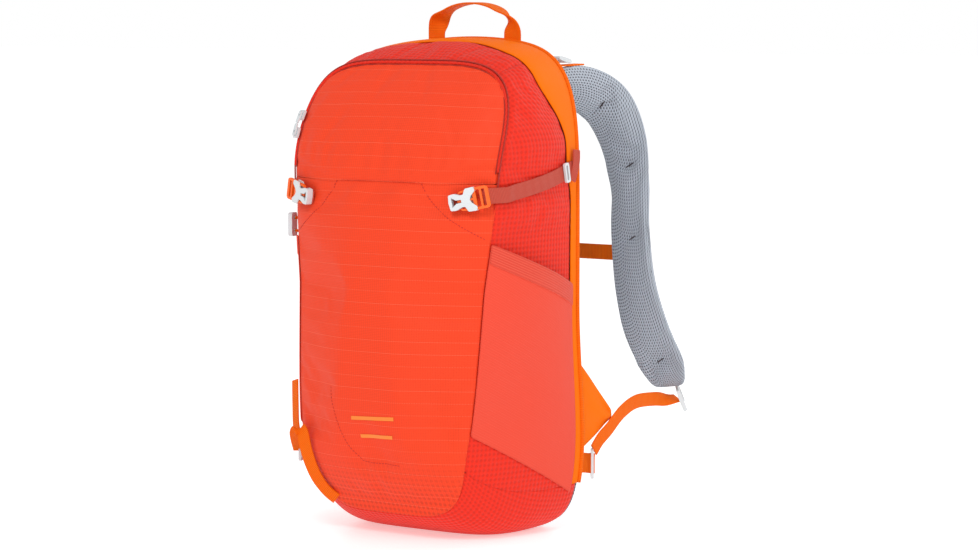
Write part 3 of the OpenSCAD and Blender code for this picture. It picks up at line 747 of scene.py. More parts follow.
def gusset_normal(angle, t):
    a = gusset(angle + 0.5, t) - gusset(angle - 0.5, t)
    b = gusset(angle, t + 0.01) - gusset(angle, t - 0.01)
    return a.cross(b).normalized()


def gusset_point(angle, t, lift=0.0):
    return gusset(angle, t) + gusset_normal(angle, t) * lift


def gusset_panel(first, last, rows, columns, wrinkle, t_first=None):
    angles = even_angles(first, last, rows)

    def place(u, v):
        angle = angles[round(u * rows)]
        t = mix(band_t(angle) + band_gap if t_first is None else t_first, seam_t, v)
        depth = (back_y - seam_y(front_outline(angle)[1]))
        point = gusset(angle, t)
        held = seam_strength(front_outline(angle)[1])
        back_dip = dip((t - (band_t(angle) if t_first is None else t_first)) * depth)
        return gusset_point(angle, t, wrinkle(point, v) - max(back_dip, held * dip((1 - t) * depth)))

    return patch(rows, columns, place)

# %% [markdown]
# The compression web pulls the side into folds that fan out from its rear end, and the top has short folds across it
# from the zip to the band.

# %% Folds in the sides and top
def side_wrinkle(p, _):
    """Folds that fan down and forward from the compression web's rear end."""
    out = 0.0
    for lean, height, width, drop in ((0.35, 1.1, 4.5, 0), (0.62, 0.9, 5.0, -14), (0.12, 0.8, 4.5, 26),
                                      (-0.25, 0.9, 5.0, 44), (-0.5, 0.7, 5.0, 66)):
        line = (p.z - 352 - drop) + lean * (p.y - 10)
        out -= height * math.exp(-(line / width) ** 2) * (1 - smooth(50, 80, abs(p.y + 8)))
    return out


def top_wrinkle(p, v):
    out = 0.0
    for k in range(9):
        x0 = -104 + 26 * k
        lean = 0.25 * math.sin(1.7 * k + 0.6)
        line = (p.x - x0) + lean * p.y
        out -= 0.7 * (0.6 + 0.4 * math.sin(2.3 * k)) * math.exp(-(line / 5.5) ** 2) * (v * (1 - v) * 4)
    return out

# %% [markdown]
# The sides are one panel and its mirror copy. The web presses a strip of each side flat, so that strip is held.

# %% Side, top and base cloths
side_bm = gusset_panel(side_low, side_high, 84, 26, side_wrinkle)
turn_outward(side_bm, away_from_middle)


def side_held(v):
    """The web presses on the side, and the pocket covers its lower half."""
    return v.is_boundary or v.co.z < 0.305 or 0.338 < v.co.z < 0.37


settle(side_bm, side_held, panel_pressure, 0.02, 0.005)
side_cloth_l = piece_from(mirrored(side_bm), "side_cloth_left", "pack", dobby)
side_cloth_r = piece_from(side_bm, "side_cloth_right", "pack", dobby)
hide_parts("side_panel_right")
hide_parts("side_panel_left")

top_bm = gusset_panel(side_high, 180 - side_high, 60, 24, top_wrinkle)
turn_outward(top_bm, away_from_middle)
settle(top_bm, on_border, panel_pressure, 0.02, 0.005)
top_cloth = piece_from(top_bm, "top_cloth", "pack", dobby)
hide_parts("top_gusset")

base_bm = gusset_panel(180 - side_low, 360 + side_low, 60, 30, lambda p, v: 0.0, 0.012)
turn_outward(base_bm, lambda p: Vector((0, 0, -1)))
base_cloth = piece_from(base_bm, "base_cloth", "pack", dobby)
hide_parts("bottom_panel")
for piece in (side_cloth_l, side_cloth_r, top_cloth, base_cloth):
    thicken(piece, 1.0)

# %% [markdown]
# An orange band of cloth runs round the back edge, wide over the shoulders and narrow down the sides. A binding tape
# is folded over the seam where it meets the mesh.

# %% Edge band and binding
band_steps = 200
band_angles = even_angles(side_low, 180 - side_low, band_steps, 0.05)


def band_place(u, v):
    angle = band_angles[round(u * band_steps)]
    width = band_t(angle)
    edge = min(v, 1 - v) * width * 150
    return gusset_point(angle, v * width, 0.9 - dip(edge, 4.0) * 0.7)


band_bm = patch(band_steps, 8, band_place)
turn_outward(band_bm, away_from_middle)
band_cloth = piece_from(band_bm, "edge_band_cloth", "pack", orange_cloth)
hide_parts("edge_band")
thicken(band_cloth, 1.0)

# %% [markdown]
# Cords and webs need a smooth path through a few chosen points. A cord is a round section carried along it, and
# webbing is a flat one whose width points where the web lies.

# %% Smooth paths, tubes and ribbons
def catmull(points, steps):
    """A smooth curve through points, with steps stretches between neighbours."""
    points = [Vector(p) for p in points]
    out = []
    for i in range(len(points) - 1):
        a, b, c, d = (points[max(0, min(len(points) - 1, i + k))] for k in (-1, 0, 1, 2))
        for s in range(steps):
            t = s / steps
            out.append(0.5 * (2 * b + (c - a) * t + (2 * a - 5 * b + 4 * c - d) * t * t
                              + (3 * b - a - 3 * c + d) * t ** 3))
    out.append(points[-1])
    return out


def headings(points):
    last = len(points) - 1
    return [(points[min(last, i + 1)] - points[max(0, i - 1)]).normalized() for i in range(last + 1)]


def tube(points, radius, sides=10, squash=1.0):
    """A round cord along points."""
    points = [Vector(p) for p in points]
    ways = headings(points)
    n = len(points) - 1
    side = ways[0].orthogonal().normalized()
    frames = []
    for way in ways:
        side = (side - way * side.dot(way)).normalized()
        frames.append((side.copy(), way.cross(side)))

    def place(u, v):
        i = round(v * n)
        a, b = frames[i]
        q = 2 * math.pi * u
        return points[i] + (a * math.cos(q) + b * math.sin(q) * squash) * radius

    bm = patch(sides, n, place, closed=True)
    bmesh.ops.holes_fill(bm, edges=[e for e in bm.edges if e.is_boundary], sides=0)
    bmesh.ops.recalc_face_normals(bm, faces=bm.faces)
    return bm


def ribbon(points, across, width, columns=4):
    """Flat webbing along points. across gives the direction of its width at each point."""
    points = [Vector(p) for p in points]
    ways = headings(points)
    n = len(points) - 1
    rows = []
    for i in range(n + 1):
        side = Vector(across[i] if isinstance(across, list) else across)
        rows.append((side - ways[i] * side.dot(ways[i])).normalized())

    def place(u, v):
        i = round(v * n)
        return points[i] + rows[i] * (u - 0.5) * width

    return patch(columns, n, place)


def web_piece(name, bm, body, finish, thickness=1.6):
    piece = piece_from(bm, name, body, finish)
    solid = piece.modifiers.new("thickness", "SOLIDIFY")
    solid.thickness = thickness * MM
    solid.offset = 0
    edge = piece.modifiers.new("soft edge", "BEVEL")
    edge.width = thickness * 0.28 * MM
    edge.segments = 2
    edge.angle_limit = math.radians(50)
    return piece

# %% [markdown]
# The binding is a cord of folded tape over the seam between the band and the back net.

# %% Binding
binding_path = [gusset_point(a, 0.0, 0.2) + Vector((0, 1.2, 0)) for a in band_angles]
piece_from(tube(binding_path, 2.3, 8), "back_binding", "pack", orange_web)
print("binding:", round(sum((b - a).length for a, b in zip(binding_path, binding_path[1:]))), "mm long")

# %% [markdown]
# ## Back and base of the harness
# The back is a taut net held off the load by a sprung rod, with a foam wall behind the gap and a padded block at the
# small of the back.

# %% Back net, foam wall and lumbar pad
def half_width_at(z, inset):
    lo, hi = -89.9, 89.9
    for _ in range(18):
        m = (lo + hi) / 2
        if back_outline(m, inset)[1] < z:
            lo = m
        else:
            hi = m
    return back_outline(m, inset)[0]


def wall_y(x, z):
    return back_y - 14 - 16 * (1 - (x / (body_w / 2)) ** 2) * smooth(0, 90, z) * (1 - smooth(body_h - 120, body_h, z))


def back_field(u, v, inset):
    """Place inside the back outline of a point of the unit square."""
    p, q = mix(-1, 1, u), mix(-1, 1, v)
    reach = max(abs(p), abs(q), 1e-6)
    angle = math.degrees(math.atan2(q, p))
    x, z = back_outline(angle, inset)
    return x * reach, mid_z + (z - mid_z) * reach


def net_place(u, v):
    x, z = back_field(u, v, 1.5)
    s = min(1.0, abs(x) / half_width_at(max(4, min(472, z)), 1.5))
    return Vector((x, back_y - 3 * (1 - s * s) + 0.4, z))


net_bm = patch(40, 56, net_place)
turn_outward(net_bm, lambda p: Vector((0, 1, 0)))
net = piece_from(net_bm, "back_net", "pack", back_net)
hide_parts("back_mesh")
thicken(net, 1.4, 0, 0)

# %% [markdown]
# Behind the gap stands a foam wall that keeps the load off the net. A flat sleeve for water hangs in front of it.

# %% Foam wall and water sleeve
def foam_place(u, v):
    x, z = back_field(u, v, wall + 1.2)
    return Vector((x, wall_y(x, z) + 5.5, max(3.6, z)))


wall_bm = patch(30, 44, foam_place)
turn_outward(wall_bm, lambda p: Vector((0, 1, 0)))
foam_wall = piece_from(wall_bm, "foam_wall", "pack", lining)
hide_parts("back_wall")
thicken(foam_wall, 5.5, -1, 0)



def sleeve_place(u, v):
    z = mix(60, 350, v)
    return Vector((mix(-86, 86, u), wall_y(0, z) - 11, z))


sleeve = piece_from(patch(16, 24, sleeve_place), "water_sleeve", "pack", lining)
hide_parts("hydration_sleeve")
thicken(sleeve, 1.2, 0, 0)

# %% [markdown]
# The lumbar pad is a closed cushion with rounded ends and three sewn channels in its outer face.

# %% Lumbar pad
def lumbar_place(u, v):
    """Closed cushion section: u runs round it, v along its height."""
    q = 2 * math.pi * u
    c, s = math.cos(q), math.sin(q)
    end = math.sqrt(max(0.0, 1 - abs(2 * v - 1) ** 5))
    x = 92 * math.copysign(abs(c) ** 0.5, c) * mix(0.9, 1, end)
    z = mix(62, 168, v)
    y = back_y - 3 * (1 - (x / 118) ** 2) + 7.2 + 5 * math.copysign(abs(s) ** 0.8, s) * mix(0.1, 1, end)
    channel = 1.8 * sum(math.exp(-((x - c0) / 3.0) ** 2) for c0 in (-46, 0, 46)) * (1 if s > 0 else 0)
    return Vector((x, y - channel * end, z))


lumbar_bm = patch(64, 24, lumbar_place, closed=True)
bmesh.ops.holes_fill(lumbar_bm, edges=[e for e in lumbar_bm.edges if e.is_boundary], sides=0)
bmesh.ops.recalc_face_normals(lumbar_bm, faces=lumbar_bm.faces)
lumbar = piece_from(lumbar_bm, "lumbar_cushion", "pack", spacer_mesh)
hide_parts("lumbar_pad")
print("lumbar pad:", [round(c * 1000) for c in lumbar.dimensions], "mm")

# %% [markdown]
# ## Stretch side pockets
# Each side has an open pocket of stretch cloth. It is caught in the back seam, in the front seam and across the base,
# so only its slanting mouth stands off the bag. A doubled twill hem runs along the mouth.

# %% Pockets and hems
def pocket_surface(h, v):
    z = mix(mix(40, 110, v), mix(248, 296, v), h)
    t = mix(0.075, 0.995, v)
    return gusset(angle_at(z, t), t)


pocket_rows, pocket_columns = 40, 34
pocket_grid = {}
for i in range(-1, pocket_rows + 2):
    for j in range(-1, pocket_columns + 2):
        pocket_grid[i, j] = pocket_surface(i / pocket_rows, j / pocket_columns)


def pocket_point(i, j, lift):
    a = pocket_grid[i + 1, j] - pocket_grid[i - 1, j]
    b = pocket_grid[i, j + 1] - pocket_grid[i, j - 1]
    return pocket_grid[i, j] + a.cross(b).normalized() * lift


pocket_turn = 1 if pocket_point(20, 17, 1).x > pocket_grid[20, 17].x else -1


def pocket_lift(h, v):
    stand = 9 * smooth(0, 0.75, h) * max(0.0, math.sin(math.pi * v)) ** 0.7
    fold = 0.8 * math.sin(7 * v + 3 * h) * math.exp(-((h - 0.55) / 0.25) ** 2) * math.sin(math.pi * v)
    return 1.4 + stand + fold


def pocket_place(u, v):
    return pocket_point(round(v * pocket_rows), round(u * pocket_columns), pocket_turn * pocket_lift(v, u))

# %% [markdown]
# The hem is a strip of doubled cloth over the pocket's mouth. Both pockets are the same panel, one of them mirrored.

# %% Pocket and hem pieces
pocket_bm = patch(pocket_columns, pocket_rows, pocket_place)
turn_outward(pocket_bm, away_from_middle)


def hem_place(u, v):
    """The last tenth of the pocket's height, a little thicker than the cloth below it."""
    h = mix(0.9, 1.0, v)
    i = h * pocket_rows
    low, high = math.floor(i - 1e-9), math.ceil(i)
    j = round(u * pocket_columns)
    a = pocket_point(low, j, pocket_turn * (pocket_lift(low / pocket_rows, u) + 0.9))
    b = pocket_point(high, j, pocket_turn * (pocket_lift(high / pocket_rows, u) + 0.9))
    return mix(a, b, i - low)


hem_bm = patch(pocket_columns, 6, hem_place)
turn_outward(hem_bm, away_from_middle)
for side, sign in (("left", -1), ("right", 1)):
    pocket = piece_from(on_side(pocket_bm, sign), "stretch_pocket_" + side, "pack", stretch_cloth)
    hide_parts("side_pocket_" + side)
    thicken(pocket, 0.9)
    hem = piece_from(on_side(hem_bm, sign), "pocket_hem_" + side, "pack", hem_cloth)
    thicken(hem, 1.6)
print("pocket cells:", len(pocket_bm.faces), "hem cells:", len(hem_bm.faces))
pocket_bm.free()
hem_bm.free()

# %% [markdown]
# ## Zip
# The main zip follows the rim of the lid from one side of the bag to the other over its top, and a narrow piped fold
# of cloth stands over it as a rain guard. Only the coil shows, so the tapes are left out. The coil is split down its
# middle: one half stays with the bag, and the other lifts with the lid and the fold.

# %% Zip coil and rain fold
zip_a0 = 24


def rim_point(angle, inward, lift):
    x, z = front_outline(angle)
    k = 1 - inward / math.hypot(x, z - mid_z)
    return face_point(x * k, mid_z + (z - mid_z) * k, lift)


rim_angles = even_angles(180 - zip_a0, zip_a0, 140, 1.0)
lid_rim = [a for a in rim_angles if 28 <= a <= 152]
bag_coil = piece_from(tube([rim_point(a, 0.0, 0.2) for a in rim_angles], 0.8, 8), "zip_coil_bag", "pack",
                      zip_tape)
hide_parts("zip_tape_bag")
piece_from(tube([rim_point(a, 2.4, 0.2) for a in lid_rim], 1.6, 10, 0.75), "zip_rain_fold", "lid",
           dobby)
lid_coil = piece_from(tube([rim_point(a, 4.6, 0.0) for a in lid_rim], 0.6, 8), "zip_coil_lid", "lid",
                      zip_tape)
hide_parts("zip_tape_lid")
print("zip:", len(rim_angles), "places on the bag's half,", len(lid_rim), "on the lid's half")

# %% [markdown]
# ## Webbing
# Webbing is woven flat, so it bends easily along its length and hardly at all across it. Each strap is a ribbon that
# follows a smooth path, with the thickness added by a modifier and its edges rounded a little.

# %% Haul loop
web_w = 17
haul_half, haul_w, haul_hinge, haul_top = 47, 20, body_h + 0.5, 527
haul_y, tab_length, tab_steps, loop_steps = back_y + 2, 28, 9, 48
haul_path, haul_across = [], []
for i in range(tab_steps):
    haul_path.append(Vector((-haul_half, haul_y, mix(haul_hinge - tab_length, haul_hinge, i / tab_steps))))
    haul_across.append(Vector((-1, 0, 0)))
for i in range(loop_steps + 1):
    q = math.pi * (1 - i / loop_steps)
    haul_path.append(Vector((haul_half * math.cos(q) * (1 + 0.05 * math.sin(q)), haul_y,
                             haul_hinge + 0.4 + (haul_top - haul_hinge - 0.4) * math.sin(q) ** 0.85)))
    turned = math.radians(90) * smooth(0.02, 0.3, min(i, loop_steps - i) / loop_steps)
    outward = -1 if i <= loop_steps // 2 else 1
    haul_across.append(Vector((outward * math.cos(turned), -math.sin(turned), 0)))
for i in range(1, tab_steps + 1):
    haul_path.append(Vector((haul_half, haul_y, mix(haul_hinge, haul_hinge - tab_length, i / tab_steps))))
    haul_across.append(Vector((1, 0, 0)))
for i in range(1, len(haul_across)):
    if haul_across[i].dot(haul_across[i - 1]) < 0:
        haul_across[i] = -haul_across[i]
haul_bm = ribbon(haul_path, haul_across, haul_w)
haul = web_piece("haul_loop_webbing", haul_bm, None, orange_web, 1.8)
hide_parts("haul_tabs", "haul_loop")
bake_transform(haul)
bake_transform(lid_cloth)
print("haul loop:", len(haul_path), "places along its webbing")

# %% [markdown]
# A brown web runs from each buckle round the side to a lock at the back edge, and a short tail stands out behind it.
# Its front end starts at the buckle's tongue; the web is joined to no body.

# %% Compression webs
clip_at = Vector((101, -79.5, 338.5))
clip_x = Vector((0.93, 0.32, 0.20)).normalized()
clip_up = Vector((0.32, -0.93, 0)).normalized()


def side_point(z, t, lift):
    return gusset_point(angle_at(z, t), t, lift)


side_web_w = 15
compression_path = [clip_at + clip_x * d - clip_up * 2.2 for d in (13.5, 17, 22)]
compression_path += [side_point(*v) for v in ((343.5, 0.93, 4), (345.5, 0.84, 3.2), (349, 0.66, 2.3),
                                              (354, 0.45, 2.2), (359, 0.28, 2.2), (363, 0.15, 2.4), (364, 0.07, 2.2))]
compression_path = catmull(compression_path, 6)
compression_bm = ribbon(compression_path, Vector((0.04, 0.08, -1)), side_web_w)
tail_bm = ribbon(catmull([side_point(352, 0.13, 3.6), side_point(362, 0.10, 4.6), side_point(372, 0.085, 5.4),
                          side_point(382, 0.075, 5.0)], 5), Vector((0.1, 1, 0.1)), 10)
anchor_bm = ribbon([clip_at + clip_x * d - clip_up * 4.2 for d in (-17, -14, -11, -8, -5, -2)],
                   clip_x.cross(clip_up), 12)
for side, sign in SIDES:
    def here(v):
        return (v.x * sign * MM, v.y * MM, v.z * MM)

    web = web_piece("compression_strap_" + side, on_side(compression_bm, sign), None, brown_web, 1.5)
    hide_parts("compression_web_" + side)
    here(side_point(344, 0.7, 2))
    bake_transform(web)
    for bm, name in ((tail_bm, "compression_tail_"), (anchor_bm, "clip_tab_")):
        made = web_piece(name + side, on_side(bm, sign), "pack", brown_web, 1.5)
        if bm is anchor_bm:
            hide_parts("clip_anchor_" + side)
compression_bm.free()
tail_bm.free()
anchor_bm.free()

# %% [markdown]
# ## Shoulder straps
# Each strap is a foam pad in spacer mesh, about 56 mm wide and 13 mm thick, with webbing bartacked to its outer face.
# The bartacks pull through the foam, so they leave dimples in the mesh on the side that lies on the wearer.

# %% Strap centreline and section
pad_w, pad_t = 56, 13
pad_path = catmull([(54, 86, 430), (60, 101, 437), (70, 126, 441), (82, 156, 438), (92, 184, 421),
                    (98.5, 203, 385), (102, 210, 340), (104, 212, 290), (107, 217, 240), (113, 228, 195),
                    (121, 245, 155), (126, 256, 128)], 8)
pad_turns = catmull([(1, -0.2, 0), (0.85, -0.2, 0.45), (0.62, -0.17, 0.72), (0.6, -0.14, 0.76), (0.74, -0.02, 0.64),
                     (0.88, -0.1, 0.42), (0.95, -0.19, 0.18), (0.97, -0.21, 0.05), (0.95, -0.15, 0.18),
                     (0.93, -0.07, 0.34), (0.93, -0.1, 0.35), (0.95, -0.15, 0.3)], 8)
pad_ways = headings(pad_path)
pad_n = len(pad_path) - 1


def pad_frame(v):
    """Centre, across and outward directions at the place v along the strap."""
    i = v * pad_n
    low = min(pad_n - 1, int(i))
    f = i - low
    centre, way = mix(pad_path[low], pad_path[low + 1], f), mix(pad_ways[low], pad_ways[low + 1], f).normalized()
    across = mix(pad_turns[low], pad_turns[low + 1], f).normalized()
    up = way.cross(across).normalized()
    return centre, up.cross(way), -up


def pad_size(v):
    width = pad_w * min(1, 0.74 + 2.2 * v) * mix(1, 0.72, smooth(0.9, 1, v))
    thick = pad_t * mix(0.6, 1, smooth(0, 0.1, v)) * mix(1, 0.7, smooth(0.93, 1, v))
    return width, thick

# %% [markdown]
# The pad is a closed tube with a flattened section. Thread tacks pull its inner face down in four places.

# %% Pad section
tack_places = ((0.3425, -0.05), (0.505, 0.25), (0.645, 0.15), (0.905, 0.05))
pad_rows, pad_round = 150, 44


def pad_place(u, v):
    """u runs round the section and v along the strap. Both ends close to a rounded tip."""
    centre, across, out = pad_frame(v)
    width, thick = pad_size(v)
    from_end = min(v / 0.012, (1 - v) / 0.035, 1.0)
    tip = math.sqrt(max(0.0, 1 - (1 - from_end) ** 2))
    q = 2 * math.pi * u
    c, s = math.cos(q), math.sin(q)
    a = math.copysign(abs(c) ** 0.72, c) * width / 2 * mix(0.55, 1, tip)
    b = math.copysign(abs(s) ** 0.72, s) * thick / 2 * tip
    edge = abs(a) / (width / 2)
    b *= 1 - 0.12 * smooth(0.0, 0.75, edge)
    if s < 0:
        for t, share in tack_places:
            d = math.hypot((v - t) * 470, (a - share * width / 2) * 0.55)
            b += 3.6 * math.exp(-(d / 5.5) ** 2)
    return centre + across * a + out * b


pad_bm = patch(pad_round, pad_rows, pad_place, closed=True)
bmesh.ops.holes_fill(pad_bm, edges=[e for e in pad_bm.edges if e.is_boundary], sides=0)
bmesh.ops.recalc_face_normals(pad_bm, faces=pad_bm.faces)

# %% [markdown]
# Foam under knitted mesh swells between its tacks and its side seams, so the pad is settled with more pressure than
# the panels. The tree of its faces then tells where a stitch sits on it.

# %% Filling out the pad
def inner_point(v, share, lift=0.0):
    """Place on the inner face of the strap, share of the half width to one side."""
    centre, across, out = pad_frame(v)
    a = share * pad_size(v)[0] / 2
    start = centre + across * a - out * 30
    spot = pad_tree.ray_cast(start * MM, out, 0.05)[0]
    return spot / MM - out * lift


tack_spots = [pad_place(0.75 + 0.02 * share, t) * MM for t, share in tack_places]


def pad_held(v):
    """The tacks hold both faces together."""
    return any((v.co - spot).length < 0.004 for spot in tack_spots)


settle(pad_bm, pad_held, 4.0, 0.01, 0.003, 20)
pad_tree = BVHTree.FromBMesh(pad_bm)

# %% [markdown]
# A stitch is a short length of thread, so a line of stitching is a row of small bars set along a path.

# %% A row of stitches
def stitch_row(name, points, normals, body, finish, length=2.1, gap=1.3, width=0.55, height=0.4, sign=1):
    bm = bmesh.new()
    run = 0.0
    for i in range(len(points) - 1):
        a, b = points[i], points[i + 1]
        span = (b - a).length
        while run < span:
            spot = mix(a, b, run / span)
            way = (b - a).normalized()
            up = mix(normals[i], normals[i + 1], run / span).normalized()
            side = way.cross(up).normalized()
            place = Matrix((way * length, side * width, side.cross(way) * height)).transposed().to_4x4()
            bmesh.ops.create_cube(bm, size=1, matrix=Matrix.Translation(spot) @ place)
            run += length + gap
        run -= span
    bmesh.ops.scale(bm, vec=(MM * sign, MM, MM), verts=bm.verts)
    bmesh.ops.recalc_face_normals(bm, faces=bm.faces)
    bm.loops.layers.uv.new("cloth")
    return piece_from(bm, name, body, finish)

# %% [markdown]
# A length of webbing is sewn along the outer face of each pad, from a third of the way down to its end.

# %% Strap webbing
def pad_outer(v, lift):
    centre, across, out = pad_frame(v)
    return centre + out * (pad_size(v)[1] / 2 + lift)


lift_webbing = 1.0
web_stations = [mix(0.32, 1.0, i / 60) for i in range(61)]
pad_web_bm = ribbon([pad_outer(v, lift_webbing) for v in web_stations], [pad_frame(v)[1] for v in web_stations],
                    web_w)

# %% [markdown]
# The lower web goes from the lock at the pad's end to the wing, and turns once on its way. The lifter web goes from
# the top of the back to the pad.

# %% Lower and lifter webs
pad_end = pad_path[-1]
lock_dir = Vector((6, 14, -20)).normalized()
strap_lock_at = pad_end + lock_dir * 18
lock_bar = Vector((0.8, 0.5, 0.3)).cross(-lock_dir).normalized()
lower_path = catmull([strap_lock_at + Vector((-1, -2, 0)), (125, 246, 114), (126, 222, 117), (126.5, 186, 118),
                      (127, 158, 110), (127.5, 134, 96), (127, 118, 87), (127, 106, 77)], 6)
lower_across = [mix(lock_bar, Vector((0, 0.25, -1)), smooth(0.02, 0.3, i / (len(lower_path) - 1)))
                for i in range(len(lower_path))]
lower_bm = ribbon(lower_path, lower_across, web_w * 0.85)
lifter_path = catmull([(74, back_y + 2.4, 463), (77, 108, 464), (80, 130, 464.5), (83, 145, 465)], 6)
lifter_bm = ribbon(lifter_path, Vector((1, -0.06, 0)), web_w * 0.85)

# %% [markdown]
# All harness parts are made for the right side. The loop places them on both sides, adds the tacks, and joins the
# pad, its webbing and the tacks to the strap. The lower and lifter webs are joined to no body.

# %% Left and right harness pieces
for side, sign in SIDES:
    strap = "strap_" + side

    def spot(v):
        v = Vector(v)
        return (v.x * sign * MM, v.y * MM, v.z * MM)

    pad = piece_from(on_side(pad_bm, sign), "shoulder_cushion_" + side, strap, spacer_mesh)
    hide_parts("shoulder_pad_" + side)
    for number, (t, share) in enumerate(tack_places):
        half = 4.2 / (pad_size(t)[0] / 2)
        ends = [inner_point(t + 0.004, share - half, -0.2), inner_point(t - 0.004, share + half, -0.2)]
        face = [-pad_frame(t)[2]] * 2
        stitch_row(f"strap_tack_{side}_{number}", ends, face, strap, dark_thread, 2.6, 0.1, 1.1, 0.7, sign)
    webbing = web_piece("strap_webbing_" + side, on_side(pad_web_bm, sign), strap, orange_web, 1.4)
    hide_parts("pad_webbing_" + side)
    lower = web_piece("lower_strap_" + side, on_side(lower_bm, sign), None, orange_web)
    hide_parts("lower_web_" + side)
    spot((124, 120, 88))
    spot((127, 240, 112))
    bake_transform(lower)
    lifter = web_piece("lifter_strap_" + side, on_side(lifter_bm, sign), None, orange_web)
    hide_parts("lifter_web_" + side)
    spot((75, 80, 463))
    spot((82, 148, 459))
    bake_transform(lifter)

# %% [markdown]
# A short tab of webbing holds each anchor ring to the back seam.

# %% Anchor tabs
anchor_tab_bm = ribbon(catmull([(123.6, 82, 67), (124.6, 92, 66), (127.4, 100.5, 64.5), (128.4, 104, 64),
                                (126.4, 105.4, 64), (124.6, 100, 65)], 5), Vector((0, 0, 1)), 20)
for side, sign in SIDES:
    web_piece("anchor_tab_" + side, on_side(anchor_tab_bm, sign), "pack", orange_web)
anchor_tab_bm.free()

# %% [markdown]
# ## Wings and chest strap
# A wing is a triangle of orange cloth sewn into the back seam, which takes the pull of the shoulder strap. It is one
# flat grid drawn to a point, with a slack crease.

# %% Wings
def wing_place(u, v):
    top_in, low_in, tip = Vector((122, 76.2, 176)), Vector((124, 76.2, 76)), Vector((124, 142, 108))
    base = mix(low_in, top_in, u)
    out = mix(base, tip + Vector((0, 0, 8 * (u - 0.3))), v)
    crease = 1.3 * math.sin(9 * u + 5 * v) * smooth(0.25, 0.9, v) * (1 - smooth(0.94, 1, v))
    return out + Vector((1.6 * math.sin(math.pi * v) * math.sin(2.4 * u) + crease,
                         3 * math.sin(math.pi * u) * (v - 1) * v, 0))


wing_bm = patch(20, 16, wing_place)
for side, sign in SIDES:
    wing = piece_from(on_side(wing_bm, sign), "harness_wing_" + side, "pack", orange_cloth)
    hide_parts("wing_" + side)
    thicken(wing, 1.8, 0)
print("wing cells:", len(wing_bm.faces))
wing_bm.free()

# %% [markdown]
# The two halves of the chest strap slide on rails on the pads. The right half ends in the buckle's tongue.

# %% Chest strap
rail_x, sternum_y, sternum_z, sternum_w = 94, 229, 267, 16


def chest_web(start):
    path = [Vector((mix(start, rail_x + 1.5, i / 20), sternum_y + 1 - 1.4 * math.sin(math.pi * i / 20),
                    sternum_z)) for i in range(21)]
    return ribbon(path, Vector((0, 0, 1)), sternum_w)


right_chest = web_piece("chest_strap_right", chest_web(17.5), None, orange_web, 1.4)
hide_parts("sternum_web_right")
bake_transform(right_chest)
left_chest = web_piece("chest_strap_left", mirrored(chest_web(13)), "sternum_left", orange_web, 1.4)
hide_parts("sternum_web_left")

# %% [markdown]
# ## Left side: tool loop and shaft keeper
# An axe's shaft hangs in a loop of webbing low on the front. The loop runs round the corner of the bag to a slider on
# the left side, and a tail hangs on behind it.

# %% Tool loop and its tail
def left_side(z, t, lift):
    p = gusset_point(angle_at(z, t), t, lift)
    return Vector((-p.x, p.y, p.z))


def loop_point(x, z, off):
    return Vector((x, face_y(x, z) - off, z))


ring_at = left_side(78, 0.93, 8)
tool_path = catmull([loop_point(-66, 33, 2), loop_point(-74, 41, 5), loop_point(-79, 54, 8.5),
                     loop_point(-82, 70, 9.5), loop_point(-85, 86, 9), loop_point(-88, 100, 9),
                     loop_point(-93, 104, 10.5), loop_point(-100, 99, 11), ring_at + Vector((-1, -4, 8)),
                     ring_at + Vector((-2, -1, 2))], 5)
tail_path = catmull([ring_at + Vector((0, 1, 7.5)), left_side(102, 0.93, 10), left_side(124, 0.9, 12),
                     left_side(148, 0.87, 14)], 6)
tool = web_piece("tool_loop_webbing", ribbon(tool_path, Vector((0.95, 0.1, 0.2)), web_w * 0.8), "pack",
                 orange_web)
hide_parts("tool_loop")
web_piece("tool_loop_tail", ribbon(tail_path, Vector((0.7, -0.3, 0.2)), web_w * 0.7), "pack",
          orange_web)

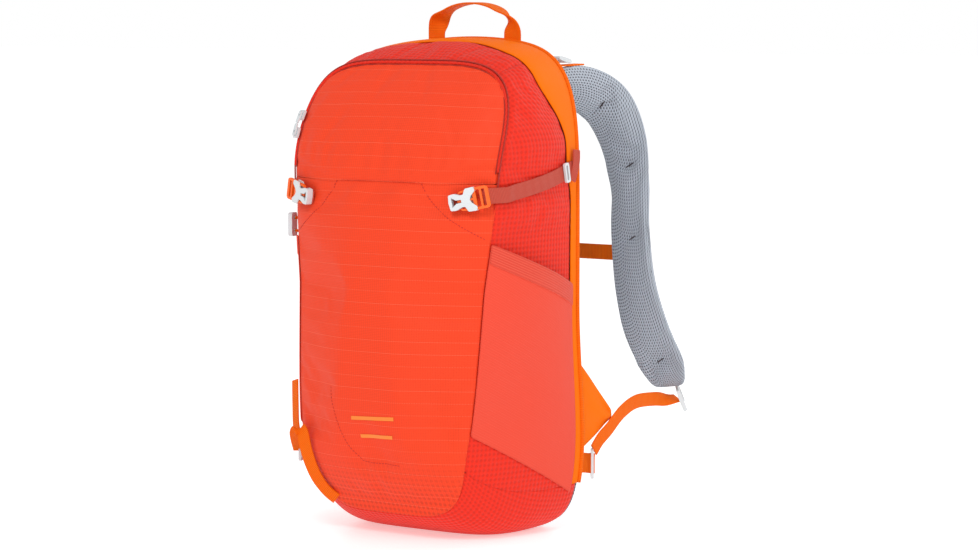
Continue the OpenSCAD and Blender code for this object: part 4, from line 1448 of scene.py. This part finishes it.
# %% [markdown]
# The shaft keeper hangs on two short elastic cords from the left side.

# %% Shaft keeper elastics
keeper_at = Vector((-140, -44, 304))
for number, z in enumerate((-6.5, 6.5)):
    cord_path = catmull([left_side(304 + z, 0.7, 1.0), left_side(304 + z * 1.1, 0.72, 6),
                         keeper_at + Vector((3, 0.8, z))], 8)
    elastic = piece_from(tube(cord_path, 1.5, 10), f"keeper_elastic_{number}", None, orange_web)
    if number == 0:
        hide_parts("shaft_cords")
    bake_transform(elastic)

# %% [markdown]
# ## Stitching and printed bars
# Thread shows round the patches under the buckles and in one curved row low on the front. Each row is given as a line
# seen from the front, and a ray drops its points onto the settled cloth.

# %% Stitching on the front
def on_front(x, z, lift):
    """Place on the settled front cloth, and the direction out of it."""
    base = face_point(x, z)
    out = (face_point(x, z, 1) - base).normalized()
    spot = front_tree.ray_cast((base + out * 12) * MM, -out, 0.03)[0]
    return (spot / MM if spot else base) + out * lift, out


def front_row(name, line, lift=0.1, sign=1):
    placed = [on_front(x, z, lift) for x, z in line]
    return stitch_row(name, [p for p, _ in placed], [n for _, n in placed], "pack", thread_red, sign=sign)


def arc(points, steps=12):
    return [(p.x, p.y) for p in catmull([(x, z, 0) for x, z in points], steps)]


patch_edge = arc([(52, 352), (60, 340), (80, 321), (114, 300)])
for side, sign in SIDES:
    front_row("patch_stitches_" + side, patch_edge, sign=sign)
front_row("lower_stitches", arc([(-46, 150), (-40, 128), (-28, 98), (-17, 84), (-8, 79), (31, 79)]))

# %% [markdown]
# Two printed bars sit low on the front. They lie on the settled cloth, so each of their points is dropped onto it.

# %% Reflective bars
def bar(name, x0, x1, z, height=3.6):
    def place(u, v):
        x = mix(x0, x1, u)
        return on_front(x, z + height * (v - 0.5) + 0.045 * (x - x0), 0.35)[0]
    bm = patch(16, 1, place)
    turn_outward(bm, lambda p: Vector((0, -1, 0)))
    return piece_from(bm, name, "pack", reflective)


bar("reflective_bar_upper", -18, 33, 123)
bar("reflective_bar_lower", -10, 30, 105)
